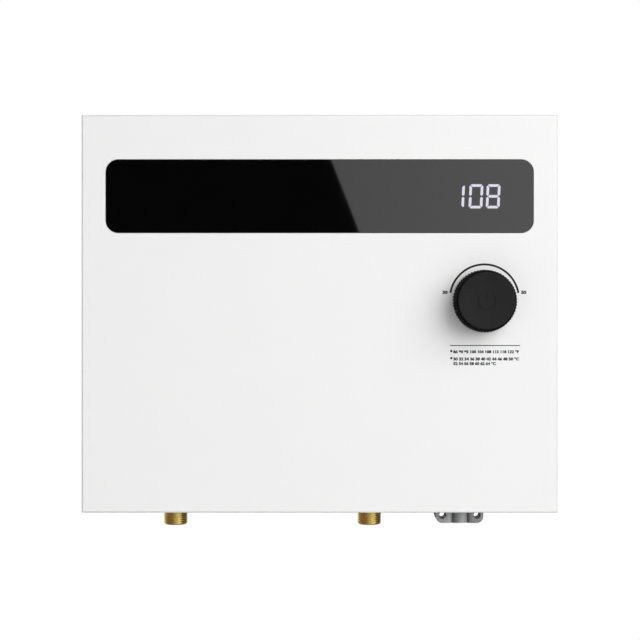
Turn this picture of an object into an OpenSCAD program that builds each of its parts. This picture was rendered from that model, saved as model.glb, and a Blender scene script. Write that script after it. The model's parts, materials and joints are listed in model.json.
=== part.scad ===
// Tankless electric water heater for a wall: a folded steel case with a display strip and a push knob,
// two threaded water fittings and a cable clamp below, and a four-chamber heat exchanger inside.
// Millimetres. Y = 0 is the wall, the front faces -Y, +Z is up, and Z = 0 is the middle of the case.

/* [Case] */
// Width of the case
case_w = 420; // [400:1:440]
// Height of the case
case_h = 351; // [335:1:370]
// Depth of the case, from the wall to the front face
case_d = 86; // [82:1:96]
// Thickness of the folded steel sheet
sheet = 1.2; // [1:0.1:1.5]
// Inside radius of the cover's bent front edges
bend_r = 0.8; // [0.5:0.1:2]
// Gap between the cover's walls and the chassis inside them
cover_gap = 0.4; // [0.3:0.1:0.8]
// Gap between the cover's rear edge and the wall
rim_gap = 0.8; // [0.5:0.1:2]
// Depth of the chassis flanges at the top and sides
flange_d = 24; // [20:1:28]
// Depth of the chassis shelf that carries the fittings
shelf_d = 72; // [66:1:76]
// Distance from the case's side to a cover screw
cover_screw_side = 25; // [18:1:32]
// Distance from the wall to a cover screw
cover_screw_f = 12; // [9:1:15]

/* [Wall holes] */
// Distance from the case's side to a wall hole
wall_hole_side = 15; // [11:1:18]
// Distance from the case's top or bottom to a wall hole
wall_hole_end = 25.5; // [20:0.5:35]
// Diameter of a wall hole
wall_hole_d = 5.5; // [4:0.5:7]

/* [Display] */
// Distance from the case's side to the lens
lens_side = 21.5; // [15:0.5:30]
// Distance from the case's top to the lens
lens_top = 39.6; // [30:0.1:50]
// Height of the lens
lens_h = 64.6; // [55:0.1:72]
// Corner radius of the lens
lens_r = 11; // [4:0.5:20]
// Thickness of the lens
lens_t = 2; // [1.5:0.1:3]
// Clearance round the lens in its recess
lens_gap = 0.3; // [0.1:0.1:0.6]
// Thickness of the lens's adhesive frame
tape_t = 0.3; // [0.2:0.1:0.6]
// Width of the lens's adhesive frame
tape_w = 6; // [4:0.5:9]
// Distance from the case's right side to the middle of the digits
digits_side = 68; // [62:0.5:74]
// Width of the digit display
digits_w = 50; // [44:1:56]
// Height of the digit display
digits_h = 28; // [24:1:34]

/* [Knob] */
// Distance from the case's right side to the knob's axis
knob_side = 65.2; // [60:0.1:72]
// Distance from the case's top to the knob's axis
knob_top = 164.4; // [150:0.1:180]
// Diameter of the knob at its back
knob_d = 55.5; // [50:0.1:60]
// Height of the knob
knob_h = 23.4; // [21:0.1:27]
// Gap between the panel and the knob's back
knob_gap = 1.6; // [1.3:0.1:2.4]
// Number of teeth on the knob's grip
knob_teeth = 62; // [50:1:100]
// Depth of the teeth
tooth_depth = 0.6; // [0.3:0.1:0.9]
// How much smaller the knob's radius is at the front
knob_draft = 1; // [0.5:0.1:1.6]
// Depth of the dish in the knob's face
cap_dish = 1; // [0.6:0.1:1.2]
// How far the knob is pushed in
press_travel = 1; // [0.6:0.1:1.2]
// Diameter of the encoder's shaft
shaft_d = 6; // [5:0.5:6.5]
// Diameter of the encoder's threaded bush
bush_d = 9; // [8.5:0.5:10]

/* [Water fittings] */
// Distance from the case's left side to the hot outlet
outlet_side = 79.3; // [70:0.1:88]
// Distance between the outlet and the cold inlet
port_spacing = 175.7; // [168:0.1:184]
// Distance from the wall to the fittings' axes
fitting_f = 42; // [39:0.5:45]
// How far the fittings hang below the case
fitting_drop = 15; // [11:0.5:20]
// Outside diameter of the pipe thread
pipe_d = 21.34; // [20.9:0.01:21.6]
// Pitch of the pipe thread
thread_pitch = 1.814; // [1.4:0.001:2.2]
// Depth of the pipe thread
thread_depth = 1.1; // [0.7:0.1:1.3]
// Bore of the fittings
water_d = 15; // [12:0.5:16]
// Width of a fitting's locknut across its flats
locknut_af = 30; // [27:0.5:32]
// Thickness of a fitting's locknut
locknut_t = 4; // [3:0.5:5]

/* [Cable clamp] */
// Distance from the case's right side to the clamp's axis
clamp_side = 84; // [78:0.5:92]
// Distance from the wall to the clamp's axis
clamp_f = 42; // [38:0.5:46]
// How far the clamp hangs below the case
clamp_drop = 12.9; // [11:0.1:16]
// Distance between the clamp's screw holes
ear_spacing = 31; // [29:0.5:36]
// Radius of the clamp's rounded ears
ear_r = 5.9; // [5:0.1:8]
// Depth of the clamp's ears from front to back
ear_t = 24; // [20:0.5:26]
// Height of an ear's hole above the clamp's lower end
ear_hole_up = 7.2; // [6.5:0.1:8]
// Diameter of an ear's screw hole
ear_hole_d = 5.4; // [4:0.1:6]
// Width across flats of the nut pocket behind an ear's hole
ear_nut_af = 8; // [7.5:0.1:8.6]
// Depth of the nut pocket
ear_nut_deep = 8; // [6:0.5:9]
// Diameter of the clamp's threaded neck
neck_d = 26.4; // [25:0.1:27.5]
// Bore of the clamp for the supply cable
cable_d = 18; // [15:0.5:19]

/* [Heat exchanger] */
// Outside diameter of a heating chamber
tube_d = 38; // [34:0.5:41]
// Wall of a heating chamber
tube_wall = 1.5; // [1:0.1:2]
// Height of a manifold
manifold_h = 32; // [30:1:36]
// Depth of the sockets that hold the chambers
socket_l = 9; // [7:0.5:10]
// Room above the upper manifold for heads and leads
head_room = 58; // [54:1:64]
// Diameter of a heating element's sheath
sheath_d = 7.2; // [6:0.2:8]
// Width of an element's hex head across its flats
element_af = 34; // [31:0.5:38]

/* [Electrics] */
// Height of the wiring space above the shelf
wiring_h = 52; // [44:1:60]
// Height of the terminal block
terminal_h = 36; // [32:1:42]
// Height of the power board
power_board_h = 105; // [96:1:112]
// Width of the control board behind the knob
control_board_w = 96; // [90:1:104]
// Distance from the cover's inside to the control board
board_gap = 12; // [11:0.5:14]
// How far a reset button is pushed in
reset_travel = 1.2; // [0.8:0.1:1.6]

/* [Hidden] */
$fn = 48;

// Small gaps shared by every fit
fit_gap = 0.1;
run_gap = 0.05;
thread_gap = 0.05;
cut = 1;
cos30 = cos(30);

// Case
cover_bend = bend_r + sheet;
chassis_w = case_w - 2 * (sheet + cover_gap);
chassis_h = case_h - 2 * (sheet + cover_gap);
cover_screw_x = case_w / 2 - cover_screw_side;
cover_screw_d = 4;
cover_screw_l = 9;
cover_nut_w = 8;
cover_nut_t = 3.2;
wall_hole_x = case_w / 2 - wall_hole_side;
wall_hole_z = case_h / 2 - wall_hole_end;
bead_w = 12;
bead_l = 220;
bead_deep = 1.5;
bead_z = 40;
knockout_gap = 0.9;
knockout_d = neck_d + 2 * knockout_gap;

// Display
lens_w = case_w - 2 * lens_side;
lens_z = case_h / 2 - lens_top - lens_h / 2;
recess_f = case_d - lens_t - tape_t;
digits_x = case_w / 2 - digits_side;
digits_gap = 0.5;
tape_inset = 0.5;
board_t = 1.6;
board_below = 28;
board_above = 8;
control_f = case_d - sheet - board_gap;
knob_x = case_w / 2 - knob_side;
knob_z = case_h / 2 - knob_top;
control_z0 = knob_z - board_below;
control_z1 = lens_z + digits_h / 2 + board_above;
pillar_r = 3.2;
pillar_inset = 7;
pillar_clear = 2;
pillar_x = control_board_w / 2 - pillar_inset;
pillar_low_z = control_z0 + pillar_inset;
pillar_high_z = lens_z - lens_h / 2 - lens_gap - sheet - pillar_r - pillar_clear;
small_screw_d = 3;
small_screw_l = 7;

// Knob and encoder
encoder_w = 14;
encoder_wall = 1;
bush_out = 4;
cavity_r = 4.4;
collar_r = 4.2;
collar_t = 1;
plunger_t = 1.6;
push_spring_l = 1.35;
encoder_t = 2 * encoder_wall + push_spring_l + press_travel + plunger_t + collar_t + run_gap;
cavity_f0 = control_f + encoder_wall;
cavity_f1 = control_f + encoder_t - encoder_wall;
collar_f = cavity_f1 - run_gap - collar_t;
washer_t = 0.5;
encoder_nut_t = 2;
encoder_nut_wall = 1.75;
encoder_nut_af = bush_d + 2 * encoder_nut_wall;
knob_f = case_d + knob_gap;
cap_t = 2.4;
cap_edge = 1.8;
cap_rim = 0.4;
grip_h = knob_h - cap_t;
grip_wall = 5.4;
core_r = knob_d / 2 - grip_wall;
knob_cavity_r = 12;
knob_cavity_l = 8;
hub_end = 2;
shaft_end_f = knob_f + grip_h - hub_end;
shaft_flat = 0.75 * shaft_d / 2;
grip_taper = (knob_d / 2 - knob_draft) / (knob_d / 2);
cap_r = (knob_d / 2 - tooth_depth) * grip_taper;
symbol_r = 7.6;
symbol_w = 0.9;
symbol_deep = 0.3;

// Water fittings
outlet_x = outlet_side - case_w / 2;
inlet_x = outlet_x + port_spacing;
shelf_z0 = -case_h / 2 + sheet + cover_gap;
shelf_z1 = shelf_z0 + sheet;
fitting_tip_z = -case_h / 2 - fitting_drop;
throat_gap = 0.5;
throat_z = -case_h / 2 - throat_gap;
thread_top_z = shelf_z0 - locknut_t;
thread_count = floor((thread_top_z - fitting_tip_z) / thread_pitch);
neck_under = 0.4;
fitting_neck_r = pipe_d / 2 - neck_under;
collar_h = 6;
collar_af = 27;
spigot_l = 8;
bore_step = 0.3;
upper_bore_r = water_d / 2 + bore_step;
spigot_wall = 1.1;
spigot_r = upper_bore_r + spigot_wall;
seal_t = 1.5;
seal_r = 13;
locknut_r = locknut_af / 2 / cos30;
notch_gap = 1.2;

// Cable clamp
clamp_x = case_w / 2 - clamp_side;
shoulder_t = 4;
shoulder_out = 5;
shoulder_r = neck_d / 2 + shoulder_out;
barrel_step = 0.6;
barrel_in_r = cable_d / 2 + barrel_step;
barrel_wall = 2.2;
barrel_r = barrel_in_r + barrel_wall;
throat_l = 6;
barrel_half_w = 6.85;
groove_w = 2.9;
clamp_z0 = -case_h / 2 - clamp_drop;
clamp_z1 = shelf_z0 - shoulder_t;
clamp_nut_t = 3.5;
clamp_nut_wall = 5;
clamp_nut_r = neck_d / 2 + clamp_nut_wall;
clamp_neck_out = 2;

// Heat exchanger
chambers = 4;
chamber_pitch = port_spacing / (chambers - 1);
exchanger_x = (outlet_x + inlet_x) / 2;
manifold_wall = 3;
manifold_r = tube_d / 2 + manifold_wall;
manifold_edge = 4;
manifold_corner = manifold_r - manifold_edge;
lower_z0 = shelf_z1 + collar_h + seal_t;
lower_z1 = lower_z0 + manifold_h;
upper_z1 = case_h / 2 - head_room;
upper_z0 = upper_z1 - manifold_h;
floor_t = 5;
passage_r = spigot_r + fit_gap;
cross_r = 6;
cross_low_z = lower_z0 + floor_t + cross_r;
plug_r = 12.5;
plug_l = 8;
plug_clear = 1;
cross_high_z = upper_z1 - plug_l - cross_r - plug_clear;
gasket_t = 1.5;
head_h = 7;
leg_off = 7;
leg_clear = 12;
bead_r = 4.5;
bead_h = 3;
post_r = 2.5;
post_h = 9;
post_z = upper_z1 + gasket_t + head_h + bead_h + post_h;
rod_off = 15;
rod_r = 2.5;
rod_head_h = 3.5;
rod_nut_h = 4;
rod_nut_af = 8;
bracket_l = 110;
bracket_inset = 4;
bracket_foot = 7;
manifold_back_f = fitting_f - manifold_r;
manifold_front_f = fitting_f + manifold_r;
bracket_screw_x = 14;
bracket_screw_d = 4;
bracket_screw_l = 10;

// Sensors
cage_h = 3;
axle_r = 1;
turbine_r = passage_r - 1.3;
turbine_h = 7;
turbine_gap = 0.3;
turbine_vanes = 5;
turbine_hub_r = 2.6;
cage_z = lower_z0 + spigot_l;
turbine_z = cage_z + cage_h + turbine_gap;
probe_r = 3;
probe_af = 12;
probe_head = 5;
probe_short = 2;
probe_l = manifold_r - passage_r - probe_short;
cutout_r = 8.5;
cutout_wall = 2;
cutout_floor = 1;
button_r = 2.2;
button_out = 2;
button_collar_r = 3.7;
button_collar_t = 1.2;
reset_spring_l = 2.55;
cutout_t = cutout_floor + reset_spring_l + reset_travel + button_collar_t + run_gap + cutout_wall;
cutout_cavity_r = 4;
cutout_z = (upper_z0 + upper_z1) / 2;

// Electrics
bay_gap = 6;
bay_x0 = inlet_x + manifold_r + bay_gap;
bay_x1 = chassis_w / 2 - sheet - bay_gap;
bay_x = (bay_x0 + bay_x1) / 2;
bay_w = bay_x1 - bay_x0;
poles = 4;
terminal_side = 14;
terminal_w = bay_w - 2 * terminal_side;
terminal_d = 32;
terminal_z0 = shelf_z1 + wiring_h;
terminal_z1 = terminal_z0 + terminal_h;
pole_w = terminal_w / poles;
pole_pocket_deep = 10;
pole_pocket_end = 7;
terminal_screw_d = 5;
terminal_screw_l = 8;
lead_gap = 24;
power_z0 = terminal_z1 + lead_gap;
power_z1 = power_z0 + power_board_h;
power_side = 8;
power_w = bay_w - 2 * power_side;
standoff_h = 8;
standoff_r = 3.5;
standoff_inset = 6;
power_f0 = sheet + standoff_h;
power_f1 = power_f0 + board_t;
input_h = 12;
input_d = 14;
input_w = 0.7 * power_w;
input_up = 4;
input_z = power_z0 + input_up;
relay_w = 30;
relay_h = 26;
relay_d = 20;
relay_off = 26;
relay_up = 50;
relay_z = power_z0 + relay_up;
relay_lead_off = 7;
sink_side = 16;
sink_w = bay_w - 2 * sink_side;
sink_gap = 4;
sink_z0 = power_z1 + sink_gap;
sink_top = 10;
sink_z1 = case_h / 2 - 2 * sheet - cover_gap - sink_top;
sink_base = 5;
sink_fins = 9;
sink_fin_l = 19;
sink_fin_t = 2;
triac_zone = 26;
triac_w = 15;
triac_h = 18;
triac_t = 5;
triac_up = 12;
triac_z = sink_z0 + triac_up;
triac_f = sheet + sink_base + triac_t;
lead_r = 1.8;
lead_sides = 8;
lead_bend = 7;
lead_rise = 10;
lead_step = 5;
ribbon_w = 12;
ribbon_t = 1;
ribbon_down = 20;
ribbon_z0 = power_z1 - ribbon_down;
ribbon_up = 25;
ribbon_z1 = knob_z + ribbon_up;

// Shapes and paths shared by several sub-parts

function chamber_x(i) = outlet_x + i * chamber_pitch;
function between_x(i) = chamber_x(i) + chamber_pitch / 2;
function pole_x(i) = bay_x + (i - (poles - 1) / 2) * pole_w;
function triac_x(i) = bay_x + (i - (chambers - 1) / 2) * sink_w / chambers;
function relay_lead_x(i) = bay_x + (i < 2 ? -1 : 1) * relay_off + (i % 2 == 0 ? -1 : 1) * relay_lead_off;
function place(x, f, z) = [x, -f, z];
function unit(v) = v / norm(v);

// A polyline whose inner corners are rounded by short quadratic curves
function corner(a, b, c, r, steps) =
    let(p = b + unit(a - b) * r, q = b + unit(c - b) * r)
    [for (s = [0 : steps]) let(t = s / steps) (1 - t) * (1 - t) * p + 2 * t * (1 - t) * b + t * t * q];
function rounded_path(p, r, steps) = concat(
    [p[0]],
    [for (i = [1 : len(p) - 2]) each corner(p[i - 1], p[i], p[i + 1], r, steps)],
    [p[len(p) - 1]]);
function tangent(p, i) = unit(p[min(i + 1, len(p) - 1)] - p[max(i - 1, 0)]);

module at(x, f, z)
{
    translate([x, -f, z]) children();
}

// Turns a child that stands on the XY plane so that it stands on a wall and faces the front
module facing_front()
{
    rotate([90, 0, 0]) children();
}

module rounded_rect(w, h, r)
{
    square([w - 2 * r, h], center = true);
    square([w, h - 2 * r], center = true);
    for (x = [-1, 1], y = [-1, 1])
        translate([x * (w / 2 - r), y * (h / 2 - r)]) circle(r);
}

module stadium(l, w)
{
    square([l - w, w], center = true);
    for (x = [-1, 1])
        translate([x * (l - w) / 2, 0]) circle(d = w);
}

module ring(h, r_out, r_in)
{
    difference() {
        cylinder(h = h, r = r_out);
        translate([0, 0, -cut]) cylinder(h = h + 2 * cut, r = r_in);
    }
}

module hex(h, af)
{
    cylinder(h = h, r = af / 2 / cos30, $fn = 6);
}

// A block from its width, depth and height, whose back is f from the wall and whose foot is at z
module wall_block(x, f, z, w, d, h)
{
    translate([x - w / 2, -f - d, z]) cube([w, d, h]);
}

// A pan-head screw: the head stands up from Z = 0 and the shank runs down
module pan_screw(d, l)
{
    head_r = 0.95 * d;
    head_t = 0.6 * d;
    slot_w = 0.18 * d;
    difference() {
        union() {
            cylinder(h = head_t, r1 = head_r, r2 = 0.8 * head_r);
            translate([0, 0, -l]) cylinder(h = l, d = d);
        }
        for (turn = [0, 90])
            rotate([0, 0, turn]) translate([-0.6 * head_r, -slot_w / 2, head_t / 2])
                cube([1.2 * head_r, slot_w, head_t]);
    }
}

// The solid of a folded box: flat, with its four front edges bent and its back open to the wall
module bent_outline(w, d, r)
{
    translate([-w / 2, -d + r]) square([w, d - r]);
    translate([-w / 2 + r, -d]) square([w - 2 * r, d]);
    for (side = [-1, 1])
        translate([side * (w / 2 - r), -d + r]) circle(r);
}

module folded_box(w, h, d, r)
{
    intersection() {
        translate([0, 0, -h / 2]) linear_extrude(h) bent_outline(w, d, r);
        translate([-w / 2, 0, 0]) rotate([0, 90, 0]) linear_extrude(w) bent_outline(h, d, r);
    }
}

// A round lead along a path, as one closed tube
module lead(path)
{
    n = lead_sides;
    last = len(path) - 1;
    side_hint = [0.31, 0.83, 0.46];
    points = [for (i = [0 : last])
        let(t = tangent(path, i), u = unit(cross(t, side_hint)), v = cross(t, u))
        for (k = [0 : n - 1]) path[i] + lead_r * (cos(360 * k / n) * u + sin(360 * k / n) * v)];
    walls = [for (i = [0 : last - 1], k = [0 : n - 1])
        let(a = i * n + k, b = i * n + (k + 1) % n)
        each [[a, a + n, b], [b, a + n, b + n]]];
    caps = [for (k = [1 : n - 2])
        each [[0, k, k + 1], [last * n, last * n + k + 1, last * n + k]]];
    polyhedron(points, concat(walls, caps));
}

// Case

module cover_screw_places()
{
    for (side = [-1, 1], end = [0, 1])
        translate([side * cover_screw_x, -cover_screw_f, 0]) mirror([0, 0, end])
            translate([0, 0, case_h / 2]) children();
}

// A slot in the bottom wall, open to the rear, so that the cover lifts off forwards past a fitting
module bottom_notch(x, f, r)
{
    translate([x, -f, -case_h / 2 - cut]) cylinder(h = sheet + 2 * cut, r = r);
    translate([x - r, -f, -case_h / 2 - cut]) cube([2 * r, f, sheet + 2 * cut]);
}

module front_cover()
{
    recess_w = lens_w + 2 * lens_gap;
    recess_h = lens_h + 2 * lens_gap;
    recess_r = lens_r + lens_gap;
    color("white") difference() {
        union() {
            difference() {
                translate([0, -rim_gap, 0]) folded_box(case_w, case_h, case_d - rim_gap, cover_bend);
                folded_box(case_w - 2 * sheet, case_h - 2 * sheet, case_d - sheet, bend_r);
            }
            at(0, recess_f - sheet, lens_z) facing_front()
                linear_extrude(case_d - recess_f + sheet / 2)
                rounded_rect(recess_w + 2 * sheet, recess_h + 2 * sheet, recess_r + sheet);
        }
        at(0, recess_f, lens_z) facing_front()
            linear_extrude(case_d) rounded_rect(recess_w, recess_h, recess_r);
        wall_block(digits_x, recess_f - sheet - cut, lens_z - digits_h / 2 - digits_gap,
            digits_w + 2 * digits_gap, sheet + 2 * cut, digits_h + 2 * digits_gap);
        at(knob_x, case_d - sheet - cut, knob_z) facing_front()
            cylinder(h = sheet + 2 * cut, r = bush_d / 2 + fit_gap);
        for (x = [outlet_x, inlet_x])
            bottom_notch(x, fitting_f, locknut_r + notch_gap);
        bottom_notch(clamp_x, clamp_f, shoulder_r + notch_gap);
        cover_screw_places() translate([0, 0, -sheet - cut])
            cylinder(h = sheet + 2 * cut, r = cover_screw_d / 2 + 2 * fit_gap);
    }
}

module rear_chassis()
{
    color("gainsboro") difference() {
        union() {
            wall_block(0, 0, -chassis_h / 2, chassis_w, sheet, chassis_h);
            for (side = [-1, 1])
                wall_block(side * (chassis_w - sheet) / 2, 0, -chassis_h / 2, sheet, flange_d, chassis_h);
            wall_block(0, 0, chassis_h / 2 - sheet, chassis_w, flange_d, sheet);
            wall_block(0, 0, -chassis_h / 2, chassis_w, shelf_d, sheet);
            for (side = [-1, 1])
                at(exchanger_x, 0, side * bead_z) facing_front()
                    linear_extrude(sheet + bead_deep) stadium(bead_l + 2 * sheet, bead_w + 2 * sheet);
        }
        for (side = [-1, 1])
            at(exchanger_x, -cut, side * bead_z) facing_front()
                linear_extrude(bead_deep + cut) stadium(bead_l, bead_w);
        for (side = [-1, 1], end = [-1, 1])
            at(side * wall_hole_x, -cut, end * wall_hole_z) facing_front()
                cylinder(h = sheet + 2 * cut, d = wall_hole_d);
        for (x = [outlet_x, inlet_x])
            at(x, fitting_f, shelf_z0 - cut) cylinder(h = sheet + 2 * cut, r = fitting_neck_r + fit_gap);
        at(clamp_x, clamp_f, shelf_z0 - cut) cylinder(h = sheet + 2 * cut, d = knockout_d);
        cover_screw_places() translate([0, 0, -2 * sheet - cover_gap - cut])
            cylinder(h = sheet + 2 * cut, r = cover_screw_d / 2 + fit_gap);
    }
}

module cover_screws()
{
    color("silver") cover_screw_places() pan_screw(cover_screw_d, cover_screw_l);
}

module cover_nuts()
{
    color("darkgray") cover_screw_places()
        translate([0, 0, -2 * sheet - cover_gap - cover_nut_t]) difference() {
            translate([-cover_nut_w / 2, -cover_nut_w / 2, 0]) cube([cover_nut_w, cover_nut_w, cover_nut_t]);
            translate([0, 0, -cut]) cylinder(h = cover_nut_t + 2 * cut, r = cover_screw_d / 2 + thread_gap);
        }
}

// Display and control board

module display_lens()
{
    color("black") at(0, case_d - lens_t, lens_z) facing_front()
        linear_extrude(lens_t) rounded_rect(lens_w, lens_h, lens_r);
}

module lens_tape()
{
    color("dimgray") at(0, recess_f, lens_z) facing_front() linear_extrude(tape_t) difference() {
        rounded_rect(lens_w - 2 * tape_inset, lens_h - 2 * tape_inset, lens_r - tape_inset);
        square([lens_w - 2 * tape_w, lens_h - 2 * tape_w], center = true);
    }
}

module digit_display()
{
    front_f = case_d - lens_t - digits_gap;
    color("whitesmoke")
        wall_block(digits_x, control_f, lens_z - digits_h / 2, digits_w, front_f - control_f, digits_h);
}

module pillar_places()
{
    for (side = [-1, 1], z = [pillar_low_z, pillar_high_z])
        at(knob_x + side * pillar_x, control_f, z) facing_front() children();
}

module control_board()
{
    chip_w = 10;
    chip_t = 1.5;
    chip_z = (knob_z + pillar_high_z) / 2;
    color("darkgreen") difference() {
        union() {
            wall_block(knob_x, control_f - board_t, control_z0,
                control_board_w, board_t, control_z1 - control_z0);
            for (side = [-1, 1])
                wall_block(knob_x + 2 * side * chip_w, control_f - board_t - chip_t, chip_z,
                    chip_w, chip_t, chip_w);
        }
        pillar_places() translate([0, 0, -board_t - cut])
            cylinder(h = board_t + 2 * cut, r = small_screw_d / 2 + fit_gap);
    }
}

module control_pillars()
{
    color("silver") pillar_places() difference() {
        cylinder(h = board_gap, r = pillar_r);
        translate([0, 0, -cut])
            cylinder(h = small_screw_l + cut, r = small_screw_d / 2 + thread_gap);
    }
}

module control_screws()
{
    color("silver") pillar_places() translate([0, 0, -board_t])
        rotate([180, 0, 0]) pan_screw(small_screw_d, small_screw_l);
}

// Encoder and knob

module on_knob_axis(f)
{
    at(knob_x, f, knob_z) facing_front() children();
}

module encoder_body()
{
    bush_l = case_d + bush_out - control_f - encoder_t;
    color("dimgray") difference() {
        union() {
            wall_block(knob_x, control_f, knob_z - encoder_w / 2, encoder_w, encoder_t, encoder_w);
            on_knob_axis(control_f + encoder_t) cylinder(h = bush_l, d = bush_d);
        }
        on_knob_axis(cavity_f0) cylinder(h = cavity_f1 - cavity_f0, r = cavity_r);
        on_knob_axis(cavity_f0 + cut) cylinder(h = case_d, r = shaft_d / 2 + run_gap);
    }
}

module encoder_nut()
{
    color("silver") {
        on_knob_axis(case_d) ring(washer_t, encoder_nut_af / 2 + 1, bush_d / 2 + thread_gap);
        on_knob_axis(case_d + washer_t) difference() {
            hex(encoder_nut_t, encoder_nut_af);
            translate([0, 0, -cut]) cylinder(h = encoder_nut_t + 2 * cut, r = bush_d / 2 + thread_gap);
        }
    }
}

module encoder_plunger()
{
    color("ivory") on_knob_axis(collar_f - plunger_t) cylinder(h = plunger_t, r = collar_r);
}

module encoder_shaft()
{
    flat_f = knob_f + knob_cavity_l;
    color("silver") difference() {
        union() {
            on_knob_axis(collar_f) cylinder(h = collar_t, r = collar_r);
            on_knob_axis(collar_f) cylinder(h = shaft_end_f - collar_f, d = shaft_d);
        }
        wall_block(knob_x, flat_f, knob_z + shaft_flat, shaft_d, case_d, shaft_d);
    }
}

module knob_core()
{
    bore_f = knob_f + knob_cavity_l;
    bore_l = shaft_end_f - bore_f + fit_gap;
    color("black") difference() {
        on_knob_axis(knob_f) cylinder(h = grip_h, r = core_r);
        on_knob_axis(knob_f - cut) cylinder(h = knob_cavity_l + cut, r = knob_cavity_r);
        difference() {
            on_knob_axis(bore_f - cut) cylinder(h = bore_l + cut, r = shaft_d / 2 + thread_gap);
            wall_block(knob_x, bore_f, knob_z + shaft_flat + thread_gap, 2 * shaft_d, case_d, shaft_d);
        }
    }
}

module knob_grip()
{
    steps = 2 * knob_teeth;
    outline = [for (i = [0 : steps - 1])
        let(r = knob_d / 2 - (i % 2) * tooth_depth, a = 360 * i / steps)
        [r * cos(a), r * sin(a)]];
    color("black") on_knob_axis(knob_f) difference() {
        linear_extrude(grip_h, scale = grip_taper) polygon(outline);
        translate([0, 0, -cut]) cylinder(h = grip_h + 2 * cut, r = core_r + thread_gap);
    }
}

module knob_cap()
{
    symbol_gap = 70;
    bar_l = symbol_r + 1;
    dish_r = cap_r - cap_edge - cap_rim;
    bowl_r = (dish_r * dish_r + cap_dish * cap_dish) / (2 * cap_dish);
    sunk = cap_dish + symbol_deep;
    color("black") on_knob_axis(knob_f + grip_h) difference() {
        rotate_extrude() difference() {
            union() {
                square([cap_r, cap_t - cap_edge]);
                square([cap_r - cap_edge, cap_t]);
                intersection() {
                    translate([cap_r - cap_edge, cap_t - cap_edge]) circle(cap_edge);
                    square([cap_r, cap_t]);
                }
            }
            translate([0, cap_t - cap_dish + bowl_r]) circle(bowl_r);
        }
        translate([0, 0, cap_t - sunk]) {
            rotate([0, 0, 90 + symbol_gap / 2]) rotate_extrude(angle = 360 - symbol_gap)
                translate([symbol_r - symbol_w / 2, 0]) square([symbol_w, sunk + cut]);
            translate([-symbol_w / 2, 0, 0]) cube([symbol_w, bar_l, sunk + cut]);
        }
    }
}

// Water fittings

module fitting(x)
{
    root_r = pipe_d / 2 - thread_depth;
    flat = thread_pitch / 5;
    slope = (thread_pitch - 2 * flat) / 2;
    first_z = thread_top_z - thread_count * thread_pitch;
    threads = [for (i = [0 : thread_count - 1])
        let(z = first_z + i * thread_pitch)
        each [[root_r, z + flat / 2], [pipe_d / 2, z + flat / 2 + slope],
            [pipe_d / 2, z + 1.5 * flat + slope], [root_r, z + thread_pitch - flat / 2]]];
    color("goldenrod") at(x, fitting_f, 0) difference() {
        union() {
            rotate_extrude() polygon(concat(
                [[upper_bore_r, throat_z], [water_d / 2, throat_z],
                    [water_d / 2, fitting_tip_z], [root_r, fitting_tip_z]],
                threads,
                [[root_r, thread_top_z], [fitting_neck_r, thread_top_z], [fitting_neck_r, shelf_z1 + cut],
                    [spigot_r, shelf_z1 + cut], [spigot_r, lower_z0 + spigot_l],
                    [upper_bore_r, lower_z0 + spigot_l]]));
            translate([0, 0, shelf_z1]) difference() {
                hex(collar_h, collar_af);
                translate([0, 0, -cut]) cylinder(h = collar_h + 2 * cut, r = upper_bore_r);
            }
        }
    }
}

module outlet_fitting()
{
    fitting(outlet_x);
}

module inlet_fitting()
{
    fitting(inlet_x);
}

module fitting_locknuts()
{
    color("goldenrod") for (x = [outlet_x, inlet_x])
        at(x, fitting_f, thread_top_z) difference() {
            hex(locknut_t, locknut_af);
            translate([0, 0, -cut]) cylinder(h = locknut_t + 2 * cut, r = fitting_neck_r + thread_gap);
        }
}

module fitting_seals()
{
    color("dimgray") for (x = [outlet_x, inlet_x])
        at(x, fitting_f, shelf_z1 + collar_h) ring(seal_t, seal_r, spigot_r + fit_gap);
}

// A slotted cup that hangs in the inlet's bore
module inlet_filter()
{
    wall = 0.8;
    slots = 8;
    slot_w = 1.6;
    filter_r = upper_bore_r - fit_gap;
    filter_l = lower_z0 + spigot_l - shelf_z1;
    color("silver") at(inlet_x, fitting_f, shelf_z1) difference() {
        cylinder(h = filter_l, r = filter_r);
        translate([0, 0, wall]) cylinder(h = filter_l, r = filter_r - wall);
        for (i = [0 : slots / 2 - 1])
            rotate([0, 0, 360 * i / slots])
                translate([-filter_r, -slot_w / 2, 2 * wall]) cube([2 * filter_r, slot_w, filter_l - 4 * wall]);
        for (i = [0 : slots - 1])
            rotate([0, 0, 360 * i / slots]) translate([filter_r / 2, 0, -cut])
                cylinder(h = wall + 2 * cut, d = slot_w);
    }
}

// Heat exchanger

module manifold_block(z)
{
    at(exchanger_x, fitting_f, z) linear_extrude(manifold_h)
        rounded_rect(port_spacing + 2 * manifold_r, 2 * manifold_r, manifold_corner);
}

module crossover(i, z)
{
    at(chamber_x(i), fitting_f, z) rotate([0, 90, 0]) cylinder(h = chamber_pitch, r = cross_r);
}

module tie_rod_places()
{
    for (i = [0 : chambers - 2], side = [-1, 1])
        at(between_x(i), fitting_f + side * rod_off, 0) children();
}

module bracket_screw_places()
{
    for (side = [-1, 1], z = [cross_low_z, cross_high_z])
        at(exchanger_x + side * bracket_screw_x, manifold_back_f - sheet, z) children();
}

module manifold_fixings()
{
    tie_rod_places() translate([0, 0, -case_h / 2]) cylinder(h = case_h, r = rod_r + fit_gap);
    bracket_screw_places() facing_front()
        cylinder(h = bracket_screw_l + fit_gap, r = bracket_screw_d / 2 + thread_gap);
}

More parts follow.
